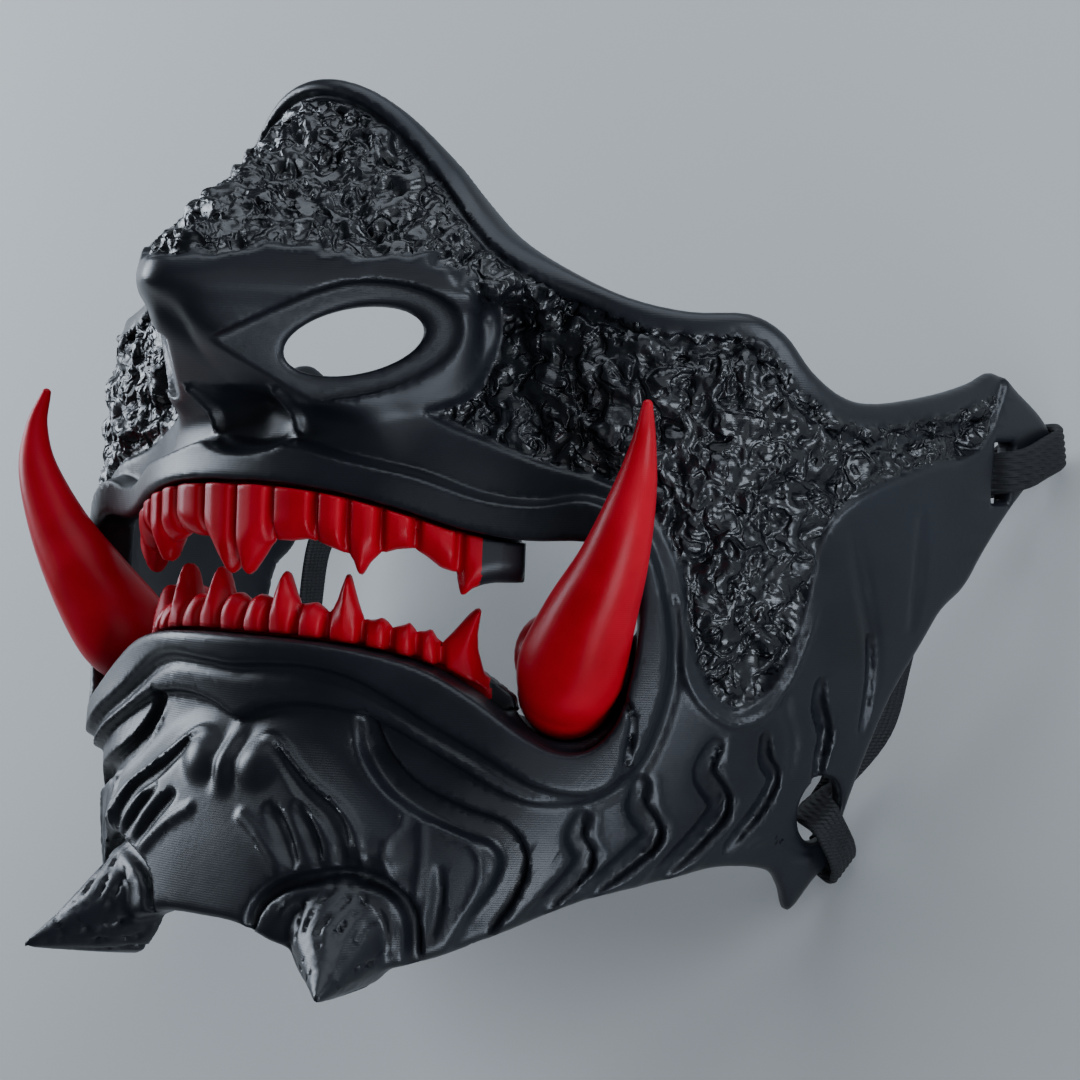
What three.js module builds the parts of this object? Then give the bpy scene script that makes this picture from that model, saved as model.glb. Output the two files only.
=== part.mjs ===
// Oni half mask: a hollow printed shell with red teeth and tusks and an elastic strap on each side.
// The face is shaped in its own frame: x to the wearer's left, y to the back of the head, z up the face.
// It is turned at the end to lie on its straps with the face up.

import * as THREE from 'three';

// Walls, gaps and fits, in millimetres
const wall = 4;
const pieceGap = 0.6;
const edgeRounding = 2;
const innerRounding = 1;

// Face form: height, half width, depth forward of the ears, squareness of the level section
const faceLevels = [
  [-66, 56, 91, 2.4], [-50, 61, 89, 2.4], [-33, 67, 84.5, 2.5], [-18, 72, 76, 2.8], [0, 77, 68, 3.3],
  [20, 79, 66, 3.6], [45, 79, 64, 3.2], [62, 77, 59, 2.8], [85, 74, 52, 2.6],
];

// Muzzle: the round of the lips and teeth, bulging out of the cheeks
const archRadius = 41.5;
const archWidening = 1.09;
const archCentreY = -42;
const muzzleBlend = 9;
const muzzleFade = [[-40, 0.84], [-22, 0.95], [-10, 1], [14, 1], [24, 0.94], [40, 0.72]];

// Nose: two sloping roof planes, two side planes with the nostrils, and the plane under it
const noseTip = { y: -102, z: 50 };
const noseRidgeSlope = 0.73;
const noseRoofSlope = 0.75;
const noseSideSlope = 1.03;
const noseTipRadius = 6;
const noseUnder = { y: -80.5, z: 27.1, slope: 0.7 };
const noseEdgeRadius = 3.5;
const noseBlend = 5;
const noseWingRise = 5;

// Nostril flare: a squared oval on the nose's side plane, falling back towards the tip of the nose
const flareCentre = { x: 22, y: -84.5, z: 38 };
const flareOval = { along: -2, up: 1, halfLength: 21.4, halfHeight: 13, squareness: 2.6 };
const flareProud = 1.2;
const flareForeFall = 0.08;
const flareSag = 1.8;
const flareLean = 0.27;
const flareLeanTop = 8;
const flareWedgeSetBack = 1;

// Face set back inside the flare's rim, egg-shaped, with the nostril through it
const recessOval = { along: -4, up: -0.8, halfLength: 21, halfHeight: 9.2, tilt: 0.1 };
const recessNarrowing = 0.035;
const recessNarrowest = 0.2;
const recessDepth = 1.7;
const recessForeDepth = 0.05;
const nostrilOval = { along: 1.5, up: -1.4, halfLength: 11.2, halfHeight: 5, tilt: 0.18 };
const nostrilFlare = { width: 0.7, depth: 3 };
const nostrilCup = { wall: 3, depth: 6.5, setBack: 1.2 };

// Outlines on the skin: angle around the upright axis behind the face in degrees, and height
const axisY = 30;
const mmPerDegree = 1.9;
const edgeOutline = [
  [0, 78.5], [4.5, 77], [8.7, 72.8], [13.2, 65.7], [17.1, 59.2], [21, 53.5], [25.5, 49], [31, 44.8],
  [36.5, 42.8], [41.5, 42.8], [44.7, 40], [47.3, 34.6], [50.5, 31], [54.5, 30.3], [62.6, 32.2],
  [69, 34.4], [73.4, 36.4], [77.5, 33.6], [82.5, 30], [85, 26.5], [84.5, 22], [80, 17.6], [75.9, 12.7],
  [72.2, 6.9], [69.5, 1.8], [66, -1.8], [63.8, -6.5], [60.2, -15.5], [58, -25], [56.5, -34], [55.8, -42],
  [53.6, -45], [50.4, -50], [48.7, -45.8], [46.5, -42.6], [41, -41.6], [36.1, -43.3], [28.9, -46.3],
  [22.5, -51.5], [17.5, -55.5], [12.5, -57.5], [8, -54.5], [4, -51.8], [0, -51.4],
];
const mouthOutline = [
  [0, 15.2], [4, 15.1], [9, 14.1], [14, 11.9], [19, 9.1], [24, 7.8], [29, 8], [32.4, 6.4], [33.8, 0],
  [33.8, -8], [32.6, -17], [30.4, -22], [28, -23.2], [25, -20.9], [20.3, -15.4], [16, -11.6],
  [10.5, -9.4], [5, -8.6], [0, -8.5],
];
const lipOutline = [
  [0, 20.3], [4, 22], [9.5, 19.9], [15.1, 17.8], [20.1, 14.8], [24.5, 14], [29, 15], [32.8, 11.8],
  [35, 5], [36.1, -6], [35.8, -15], [33.8, -24.9], [30.6, -29.6], [26.4, -29], [21.6, -24.2],
  [17.5, -20.5], [14.5, -17.5], [11, -14.4], [7.4, -13], [3, -13.2], [0, -13.6],
];
const lowerLipOutline = [
  [0, -5], [30, -12], [33, -24], [30.6, -30.6], [26.3, -31.6], [23.3, -30], [19.1, -25.9], [13.2, -20.8],
  [9.9, -19.4], [6.1, -19], [2.8, -20.1], [0, -22],
];
const chinOutline = [
  [0, -22], [2.8, -20.2], [6, -20.6], [9.1, -23.5], [13.1, -30.3], [16.3, -35.6], [17.2, -41.2],
  [15.4, -44.5], [12, -47], [6, -70], [0, -70],
];
const hideOutline = [
  [0, 90], [40, 90], [75, 60], [72, 27], [61.3, 20.5], [55.8, 18], [51.4, 14.6], [48.8, 9.4],
  [47.8, 0.3], [46.8, -7.3], [45, -13.6], [42, -17], [40, -15.8], [38.3, -11.6], [37, -4.5], [36.2, 4],
  [34, 11.6], [30.4, 16.2], [24.6, 18.9], [19.9, 21.9], [14.5, 26.2], [17.8, 30], [19.4, 38],
  [18.4, 45.5], [14.6, 50], [7, 51.3], [0, 50.6],
];

// Carving depths and widths
const lipHeight = 3.2;
const lipStep = 2;
const lowerLipHeight = 1.7;
const lipGroove = { halfWidth: 2, depth: 1.2 };
const philtrum = { halfWidth: 8.7, depth: 2, ridge: 1.1, ridgeWidth: 2.4, bottom: 18.6, rise: 3, top: 30 };
const chinHeight = 2.2;
const chinStep = 2.6;
const chinKnob = { angle: 2.9, z: -27.8, radius: 5.5, height: 2.2 };
const chinRidge = { halfWidth: 3.2, height: 1.4, z: -28, halfLength: 8 };
const hideDepth = 1;
const hideStep = 2.4;
const rimGroove = { halfWidth: 1.8, depth: 1.2, atNose: 3, atEar: 6.2, widest: 60, end: 75, lowest: 20 };
const slashDepth = 2.1;
const slashTaper = 4;
const slashes = [
  { halfWidth: 2.3, path: [[29.3, -32], [28.5, -37.5], [29.8, -42.5], [25.3, -50]] },
  { halfWidth: 2.5, path: [[34.3, -27.5], [33.1, -32.6], [35.3, -37.3], [30.4, -46]] },
  { halfWidth: 2.5, path: [[40.1, -21.2], [38.7, -26.7], [41.4, -32.8], [35.2, -44]] },
  { halfWidth: 1.7, path: [[44.6, -19.8], [44.8, -25.2], [46.5, -30.1], [43.6, -36.6]] },
  { halfWidth: 2.1, path: [[50.3, -11], [50.6, -20], [52.1, -29.6]] },
  { halfWidth: 1.8, path: [[55.2, -5], [56.3, -13.6], [56.3, -21.4]] },
];
const panelGroove = {
  halfWidth: 2.2, depth: 1.9,
  path: [[12.2, -19], [14.4, -26.4], [17.8, -30.6], [22.1, -34.2], [24.7, -38.8], [24.3, -43.8], [20.6, -53.5]],
};

// Chin horns, one on each side, as tapered and slightly hooked cones
const hornRoot = { x: 20.5, y: -80, z: -46.5 };
const hornMid = { x: 27.6, y: -88.5, z: -54 };
const hornTip = { x: 31.8, y: -97, z: -59.2 };
const hornRadius = 8.8;
const hornMidRadius = 5.5;
const hornFillet = 1.5;
const hornTipRadius = 0.6;
const collarGroove = { angle: 11.6, z: -52, radius: 9.8, halfWidth: 1.7, depth: 1.5 };

// Tusks: centre line from the socket in the mouth corner to the tip, with the radius at each point
const tuskLine = [
  [46.6, -60.6, -14.6, 7.4], [49.6, -63.2, -10.6, 8.1], [54.6, -65.8, -3.4, 7], [60.4, -67.8, 5.4, 5.2],
  [64.8, -69.2, 15.2, 3.4], [66, -68.8, 22.6, 1.9], [65.4, -67.4, 28.4, 0.8],
];
const socketWall = 3.4;
const socketSetBack = 2;

// Teeth: each row is a band along the arch, held by a flange behind the lip and grooved between the teeth
const toothHalfThickness = 2.7;
const tipThickness = 0.3;
const tipRounding = 3.5;
const grooveHalfWidth = 1.4;
const grooveDepth = 1.2;
const rootHeight = 2.4;
const flangeHeight = 5;
const flangeThickness = 2.2;
const rowEndDegrees = 60;
const rowReach = 30;
const lipEndDegrees = 31;
// Each row: radius of its front, degrees of the grooves, and the free edge in degrees and height
const upperTeeth = {
  front: archRadius + 3.5,
  grooves: [0, 8.8, 18.2, 24.6, 31.3, 38, 46.4],
  edge: [
    [0, 3.4], [1.1, 1.6], [2.1, 0.7], [3.2, 1.3], [5.5, 3.6], [7.2, 5.3], [8.8, 6.3], [12.5, 6.3],
    [16.3, 6.7], [18.6, 6.3], [21.1, 5.6], [23.8, 4.9], [24.7, 4.8], [25.8, 3.8], [26.7, 2.1],
    [27.4, 1.5], [28.1, 2.1], [29.1, 3.5], [30.9, 4.9], [34.3, 5.7], [37.6, 6], [40.1, 4.9], [43.1, 3.2],
    [45.9, 2.6], [46.4, 1.2], [47.1, -0.7], [47.9, -0.8], [49.4, 0.6], [53, 2.4], [57, 3.6], [62, 4.3],
  ],
};
const lowerTeeth = {
  front: archRadius + 0.5,
  grooves: [0, 6.4, 13.3, 20, 27.6, 33.5, 38.8, 43.8],
  edge: [
    [0, -3.6], [1.2, -2.8], [3.2, -2.1], [5, -2.5], [6.1, -2.6], [7.2, -1.2], [8.2, 0.4], [9.2, 1.6],
    [9.9, 1.5], [10.8, 0], [11.8, -1.7], [13.2, -3.3], [15, -3.1], [17, -2.9], [18.7, -3.7],
    [19.7, -4.2], [20.7, -3.7], [21.7, -2.3], [22.5, -0.4], [23.5, 1.6], [24.3, 1.6], [25.1, -0.2],
    [26.2, -2.7], [27.6, -5], [29.6, -5.2], [31.4, -4.7], [32.5, -5.2], [33.9, -6.1], [36, -5.7],
    [37.3, -5.3], [38.9, -6.6], [40.6, -6.5], [41.9, -6.1], [43.1, -7.5], [44, -8.3], [46.4, -6.5],
    [49.9, -3.6], [51.6, -2.6], [52.2, -3.2], [51.6, -6.6], [51.8, -9], [53.3, -12.7], [56, -15],
  ],
};

// Straps: flat elastic, through the ear slot, around the lobe's rear edge, down inside and around the jaw corner
const strapWidth = 6.6;
const strapThickness = 1.6;
const strapGap = 0.6;
const earSlot = { angle: 74.6, z: 20.4, halfWidth: 3.5, halfHeight: 4.9 };
const jawHole = { angle: 52.4, z: -33.2, radius: 5.5 };

// Fineness of the faceted model
const shellGrid = 1.75;
const shellFacets = 6600;
const toothGrid = 0.9;
const toothFacets = 850;
const tuskGrid = 0.9;
const tuskFacets = 330;
const strapStations = 44;
const softening = 2;

const colours = { shell: 0x17181b, teeth: 0xb30d1c, strap: 0x0b0b0d };

const radians = Math.PI / 180;

function smoothMin(a, b, blend) {
  const h = Math.max(blend - Math.abs(a - b), 0) / blend;
  return Math.min(a, b) - h * h * blend / 4;
}

function smoothMax(a, b, blend) {
  return -smoothMin(-a, -b, blend);
}

function smoothStep(t) {
  const c = Math.min(Math.max(t, 0), 1);
  return c * c * (3 - 2 * c);
}

// A round furrow or ridge across a line: 1 on the line, 0 at the half width
function bump(distance, halfWidth) {
  const t = distance / halfWidth;
  return Math.abs(t) < 1 ? (1 - t * t) ** 2 : 0;
}

// A smooth table: rows of a position and its values
function table(rows) {
  const times = new Float32Array(rows.map(row => row[0]));
  const values = new Float32Array(rows.flatMap(row => row.slice(1)));
  return new THREE.CubicInterpolant(times, values, rows[0].length - 1);
}

// Segments of a line through points of degrees and height; lines that start on the middle go on past it
function lineThrough(points, mmPerStep, acrossStart, acrossEnd, steps) {
  const through = points.map(([angle, z]) => new THREE.Vector2(angle * mmPerStep, z));
  const mirror = p => new THREE.Vector2(-p.x, p.y);
  if (acrossStart) through.unshift(mirror(through[2]), mirror(through[1]));
  if (acrossEnd) through.push(mirror(through.at(-2)), mirror(through.at(-3)));
  const samples = new THREE.SplineCurve(through).getPoints((through.length - 1) * steps);
  return samples.slice(1).map((p, i) => ({ from: samples[i], to: p, at: (i + 0.5) / (samples.length - 1) }));
}

function skinLine(points, acrossStart, acrossEnd, steps = 3) {
  return lineThrough(points, mmPerDegree, acrossStart, acrossEnd, steps);
}

// Distance to a line on the skin, and how far along it the nearest point is
function nearLine(segments, s, z) {
  let best = Infinity;
  let along = 0;
  for (const { from, to, at } of segments) {
    const dx = to.x - from.x;
    const dz = to.y - from.y;
    const t = Math.min(Math.max(((s - from.x) * dx + (z - from.y) * dz) / (dx * dx + dz * dz), 0), 1);
    const gap = (s - from.x - t * dx) ** 2 + (z - from.y - t * dz) ** 2;
    if (gap < best) {
      best = gap;
      along = at;
    }
  }
  return { distance: Math.sqrt(best), along };
}

// Signed distance to an outline on the skin, negative inside; its missing side is past the middle
function insideOutline(segments, s, z) {
  let inside = false;
  const last = segments.at(-1).to;
  const first = segments[0].from;
  for (const { from, to } of [...segments, { from: last, to: first }]) {
    if ((from.y > z) === (to.y > z)) continue;
    const crossing = from.x + (z - from.y) / (to.y - from.y) * (to.x - from.x);
    if (s < crossing) inside = !inside;
  }
  const { distance } = nearLine(segments, s, z);
  return inside ? -distance : distance;
}

const levels = table(faceLevels);
const muzzleScale = table(muzzleFade);
const edgeLine = skinLine(edgeOutline, true, true);
const mouthLine = skinLine(mouthOutline, true, true);
const lipLine = skinLine(lipOutline, true, true);
const lowerLipLine = skinLine(lowerLipOutline, true, true);
const chinLine = skinLine(chinOutline, true, true);
const hideLine = skinLine(hideOutline, true, true);
const slashLines = slashes.map(({ path }) => skinLine(path, false, false, 5));
const panelLine = skinLine(panelGroove.path, false, false);

// Distance to an upright wall whose level section is a squared oval, open to the back
function sectionDistance(x, y, halfWidth, depth, squareness) {
  const across = Math.max(Math.abs(x) / halfWidth, 1e-4);
  const ahead = Math.max(-y / depth, 1e-4);
  const acrossP = across ** squareness;
  const aheadP = ahead ** squareness;
  const radius = (acrossP + aheadP) ** (1 / squareness);
  const fall = radius ** (1 - squareness);
  return (radius - 1) / Math.hypot(fall * acrossP / across / halfWidth, fall * aheadP / ahead / depth);
}

function muzzleDistance(x, y, z) {
  const [scale] = muzzleScale.evaluate(z);
  const radius = archRadius * scale;
  return sectionDistance(x, y - archCentreY, radius * archWidening, radius, 2);
}

function softSide(x) {
  return Math.hypot(x, noseTipRadius) - noseTipRadius;
}

function noseDistance(x, y, z) {
  const side = softSide(x);
  const ridge = noseTip.z + noseRidgeSlope * (y - noseTip.y);
  const roof = (z - ridge + noseRoofSlope * side) / Math.hypot(1, noseRidgeSlope, noseRoofSlope);
  const cheek = (noseSideSlope * side - y + noseTip.y) / Math.hypot(1, noseSideSlope);
  return smoothMax(smoothMax(cheek, roof, noseEdgeRadius), underNose(y, z), noseEdgeRadius);
}

function underNose(y, z) {
  return (noseUnder.z + noseUnder.slope * (noseUnder.y - y) - z) / Math.hypot(1, noseUnder.slope);
}

// Place of a point against the nostril flare: along, up and out of the nose's side plane
function flarePlace(x, y, z) {
  const out = new THREE.Vector2(noseSideSlope, -1).normalize();
  const dx = Math.abs(x) - flareCentre.x;
  const dy = y - flareCentre.y;
  const along = -dx * out.y + dy * out.x;
  return { along, up: z - flareCentre.z, out: dx * out.x + dy * out.y };
}

// Distance to an oval on the nose's side plane, negative inside
function ovalDistance(oval, along, up, grow = 0, share = 1) {
  const { squareness = 2, tilt = 0 } = oval;
  const height = (oval.halfHeight + grow) * share;
  const across = Math.abs((along - oval.along) / (oval.halfLength + grow));
  const rise = Math.abs((up - oval.up - tilt * along) / height);
  return ((across ** squareness + rise ** squareness) ** (1 / squareness) - 1) * height;
}

// How far the wing of the nose stands proud of its side plane: it leans back below its band
function wingFront(up) {
  return flareProud + flareLean * Math.min(up - flareLeanTop, 0);
}

function flareDistance(x, y, z) {
  const { along, up, out } = flarePlace(x, y, z);
  const front = out - wingFront(up) - flareForeFall * Math.min(along, 0);
  const disc = smoothMax(ovalDistance(flareOval, along, up), front, noseEdgeRadius);
  return smoothMax(disc, underNose(y, z) - flareSag, edgeRounding);
}

function recessDistance(x, y, z) {
  const { along, up, out } = flarePlace(x, y, z);
  const above = up - recessOval.up - recessOval.tilt * along > 0;
  const share = above ? Math.min(Math.max(1 + recessNarrowing * along, recessNarrowest), 1) : 1;
  const behind = -(out - wingFront(up) + recessDepth - recessForeDepth * along);
  return smoothMax(ovalDistance(recessOval, along, up, 0, share), behind, innerRounding);
}

function nostrilDistance(x, y, z) {
  const { along, up, out } = flarePlace(x, y, z);
  const grow = nostrilFlare.width * smoothStep((out + nostrilFlare.depth) / nostrilFlare.depth);
  return ovalDistance(nostrilOval, along, up, grow);
}

// Wall around the nostril behind the nose's side
function nostrilCupDistance(x, y, z, form) {
  const { out } = flarePlace(x, y, z);
  const tube = nostrilDistance(x, y, z) - nostrilCup.wall;
  const cup = smoothMax(tube, -out - nostrilCup.depth, edgeRounding);
  return smoothMax(cup, form + nostrilCup.setBack, innerRounding);
}

// The face without its carving
function formDistance(x, y, z) {
  const [halfWidth, depth, squareness] = levels.evaluate(z);
  const cheeks = sectionDistance(x, y, halfWidth, depth, squareness);
  const face = smoothMin(cheeks, muzzleDistance(x, y, z), muzzleBlend);
  const above = smoothMax(noseDistance(x, y, z), flareCentre.z + noseWingRise - z, noseEdgeRadius);
  const { up, out } = flarePlace(x, y, z);
  const inner = smoothMax(noseDistance(x, y, z), x - flareCentre.x, noseEdgeRadius);
  const low = smoothMax(inner, out - wingFront(up) + flareWedgeSetBack, noseEdgeRadius);
  const nose = smoothMin(smoothMin(above, low, noseEdgeRadius), flareDistance(x, y, z), noseEdgeRadius);
  return smoothMin(face, nose, noseBlend);
}

function taperedDistance(line, x, y, z) {
  let best = Infinity;
  for (let i = 1; i < line.length; i++) {
    const [ax, ay, az, ar] = line[i - 1];
    const [bx, by, bz, br] = line[i];
    const dx = bx - ax;
    const dy = by - ay;
    const dz = bz - az;
    const reach = ((x - ax) * dx + (y - ay) * dy + (z - az) * dz) / (dx * dx + dy * dy + dz * dz);
    const t = Math.min(Math.max(reach, 0), 1);
    best = Math.min(best, Math.hypot(x - ax - t * dx, y - ay - t * dy, z - az - t * dz) - ar - t * (br - ar));
  }
  return best;
}

// A smooth line through points with radii, cut into short tapered lengths
function taperedLine(points, steps = 3) {
  const line = table(points.map((point, i) => [i, ...point]));
  const count = (points.length - 1) * steps;
  return Array.from({ length: count + 1 }, (_, i) => [...line.evaluate(i / steps)]);
}

const hornLine = taperedLine([
  [hornRoot.x, hornRoot.y, hornRoot.z, hornRadius],
  [hornMid.x, hornMid.y, hornMid.z, hornMidRadius],
  [hornTip.x, hornTip.y, hornTip.z, hornTipRadius],
]);
const tuskPath = taperedLine(tuskLine);

// Height of the carving over the plain form
function carving(s, z) {
  let height = 0;
  const ridgeOff = Math.abs(s - philtrum.halfWidth);
  const scoop = philtrum.depth * bump(s, philtrum.halfWidth) - philtrum.ridge * bump(ridgeOff, philtrum.ridgeWidth);
  const scoopEnds = Math.min(z - philtrum.bottom, philtrum.top - z) / philtrum.rise;
  height -= scoop * smoothStep(scoopEnds);
  const chin = insideOutline(chinLine, s, z);
  height += chinHeight * smoothStep(-chin / chinStep);
  const knob = Math.hypot(s - chinKnob.angle * mmPerDegree, z - chinKnob.z);
  height += chinKnob.height * bump(knob, chinKnob.radius);
  height += chinRidge.height * bump(s, chinRidge.halfWidth) * bump(z - chinRidge.z, chinRidge.halfLength);
  const lower = insideOutline(lowerLipLine, s, z);
  height += lowerLipHeight * smoothStep(-lower / lipStep);
  const lip = insideOutline(lipLine, s, z);
  height += (lipHeight - (lower < 0 ? lowerLipHeight : 0)) * smoothStep(-lip / lipStep);
  if (z < 0) height -= lipGroove.depth * bump(lip - lipGroove.halfWidth / 2, lipGroove.halfWidth);
  const hide = insideOutline(hideLine, s, z);
  height -= hideDepth * smoothStep(-hide / hideStep);
  const rim = -insideOutline(edgeLine, s, z);
  const rimWidening = smoothStep(s / mmPerDegree / rimGroove.widest);
  const rimWidth = rimGroove.atNose + (rimGroove.atEar - rimGroove.atNose) * rimWidening;
  const rimEnd = smoothStep((rimGroove.end * mmPerDegree - s) / (2 * rimWidth));
  if (z > rimGroove.lowest) height -= rimGroove.depth * bump(rim - rimWidth, rimGroove.halfWidth) * rimEnd;
  slashLines.forEach((line, i) => {
    const { distance, along } = nearLine(line, s, z);
    const taper = Math.sqrt(Math.min(along * slashTaper, 1, (1 - along) * slashTaper));
    height -= slashDepth * taper * bump(distance, slashes[i].halfWidth);
  });
  const panel = nearLine(panelLine, s, z);
  height -= panelGroove.depth * bump(panel.distance, panelGroove.halfWidth);
  const collar = Math.hypot(s - collarGroove.angle * mmPerDegree, z - collarGroove.z) - collarGroove.radius;
  height -= collarGroove.depth * bump(collar, collarGroove.halfWidth);
  return height;
}

function skinPlace(x, y) {
  return Math.atan2(Math.abs(x), axisY - y) / radians * mmPerDegree;
}

// Walls around the tusks inside the mouth corners, open at the top
function socketDistance(tusk, form, z) {
  const cup = smoothMax(tusk - pieceGap - socketWall, form + socketSetBack, edgeRounding);
  return smoothMax(cup, z - tuskLine[1][2], edgeRounding);
}

// Strap slot in the ear lobe and round strap hole in the jaw corner
function strapHoleDistance(s, z) {
  const across = Math.abs(s - earSlot.angle * mmPerDegree) - earSlot.halfWidth;
  const slot = Math.max(across, Math.abs(z - earSlot.z) - earSlot.halfHeight);
  return Math.min(slot, Math.hypot(s - jawHole.angle * mmPerDegree, z - jawHole.z) - jawHole.radius);
}

function shellDistance(x, y, z) {
  const ax = Math.abs(x);
  const form = formDistance(ax, y, z);
  if (form < -wall - 2 * socketWall || form > 3 * hornRadius) return Math.max(form, -form - wall);
  const s = skinPlace(ax, y);
  const carved = form > -wall && form < 2 * wall;
  const outer = carved ? form - carving(s, z) : form;
  const tusk = taperedDistance(tuskPath, ax, y, z);
  let solid = smoothMax(outer, insideOutline(edgeLine, s, z), edgeRounding);
  solid = smoothMax(solid, -insideOutline(mouthLine, s, z), edgeRounding);
  solid = smoothMin(solid, taperedDistance(hornLine, ax, y, z), hornFillet);
  solid = smoothMax(solid, -(form + wall), innerRounding);
  solid = smoothMin(solid, socketDistance(tusk, form, z), innerRounding);
  solid = smoothMin(solid, nostrilCupDistance(ax, y, z, form), innerRounding);
  solid = smoothMax(solid, -recessDistance(ax, y, z), innerRounding);
  solid = smoothMax(solid, -nostrilDistance(ax, y, z), innerRounding);
  solid = smoothMax(solid, -(tusk - pieceGap), innerRounding);
  return smoothMax(solid, -strapHoleDistance(s, z), innerRounding);
}

// Marching tetrahedra over a grid of a field: a closed mesh with shared vertices
const cubeCorners = [0, 1, 2, 3, 4, 5, 6, 7].map(i => [i & 1, (i >> 1) & 1, i >> 2]);
const tetrahedra = [[0, 1, 3, 7], [0, 3, 2, 7], [0, 2, 6, 7], [0, 6, 4, 7], [0, 4, 5, 7], [0, 5, 1, 7]];

function polygonise(field, low, high, step) {
  const counts = [0, 1, 2].map(i => Math.ceil((high[i] - low[i]) / step) + 1);
  const [nx, ny, nz] = counts;
  const values = new Float32Array(nx * ny * nz);
  const node = (i, j, k) => i + nx * (j + ny * k);
  const coarse = 4;
  const reach = coarse * step * 1.9;
  for (let k = 0; k < nz; k += coarse) {
    for (let j = 0; j < ny; j += coarse) {
      for (let i = 0; i < nx; i += coarse) {
        const half = coarse * step / 2;
        const middle = field(low[0] + i * step + half, low[1] + j * step + half, low[2] + k * step + half);
        const far = Math.abs(middle) > reach;
        for (let c = k; c < Math.min(k + coarse, nz); c++) {
          for (let b = j; b < Math.min(j + coarse, ny); b++) {
            for (let a = i; a < Math.min(i + coarse, nx); a++) {
              const value = far ? middle : field(low[0] + a * step, low[1] + b * step, low[2] + c * step);
              values[node(a, b, c)] = Math.abs(value) < 1e-3 ? 1e-3 : value;
            }
          }
        }
      }
    }
  }
  const positions = [];
  const faces = [];
  const made = new Map();
  const crossing = (a, b) => {
    const key = Math.min(a, b) * (nx * ny * nz) + Math.max(a, b);
    if (!made.has(key)) {
      const t = values[a] / (values[a] - values[b]);
      for (const [axis, stride, count] of [[0, 1, nx], [1, nx, ny], [2, nx * ny, nz]]) {
        const at = n => Math.floor(n / stride) % count;
        positions.push(low[axis] + step * (at(a) + t * (at(b) - at(a))));
      }
      made.set(key, positions.length / 3 - 1);
    }
    return made.get(key);
  };
  const addFace = (a, b, c, outward) => faces.push(...(outward ? [a, b, c] : [a, c, b]));
  for (let k = 0; k < nz - 1; k++) {
    for (let j = 0; j < ny - 1; j++) {
      for (let i = 0; i < nx - 1; i++) {
        const corners = cubeCorners.map(([a, b, c]) => node(i + a, j + b, k + c));
        const solid = corners.filter(n => values[n] < 0).length;
        if (solid === 0 || solid === 8) continue;
        for (const tetra of tetrahedra) {
          const ends = tetra.map(c => corners[c]);
          const inside = ends.filter(n => values[n] < 0);
          const outside = ends.filter(n => values[n] >= 0);
          // An even order of the corners keeps the faces turned outward
          const order = [...inside, ...outside].map(n => ends.indexOf(n));
          let swaps = 0;
          for (let a = 0; a < 4; a++) {
            for (let b = a + 1; b < 4; b++) if (order[a] > order[b]) swaps++;
          }
          const even = swaps % 2 === 0;
          if (inside.length === 1) {
            addFace(...outside.map(n => crossing(inside[0], n)), even);
          } else if (inside.length === 3) {
            addFace(...inside.map(n => crossing(n, outside[0])), even);
          } else if (inside.length === 2) {
            const [p, q, r, t] = [[0, 0], [0, 1], [1, 1], [1, 0]].map(([m, n]) => crossing(inside[m], outside[n]));
            addFace(p, q, r, even);
            addFace(p, r, t, even);
          }
        }
      }
    }
  }
  return { positions, faces };
}

// Evens out the grid's steps: each round shrinks the mesh a little and swells it back
function soften({ positions, faces }, rounds) {
  const count = positions.length / 3;
  for (let pass = 0; pass < 2 * rounds; pass++) {
    const weight = pass % 2 === 0 ? 0.5 : -0.52;
    const sums = new Float64Array(3 * count);
    const links = new Uint16Array(count);
    for (let f = 0; f < faces.length; f++) {
      const v = faces[f];
      const next = faces[f % 3 === 2 ? f - 2 : f + 1];
      links[v]++;
      for (let axis = 0; axis < 3; axis++) sums[3 * v + axis] += positions[3 * next + axis];
    }
    for (let i = 0; i < 3 * count; i++) {
      positions[i] += weight * (sums[i] / links[Math.floor(i / 3)] - positions[i]);
    }
  }
  return { positions, faces };
}

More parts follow.
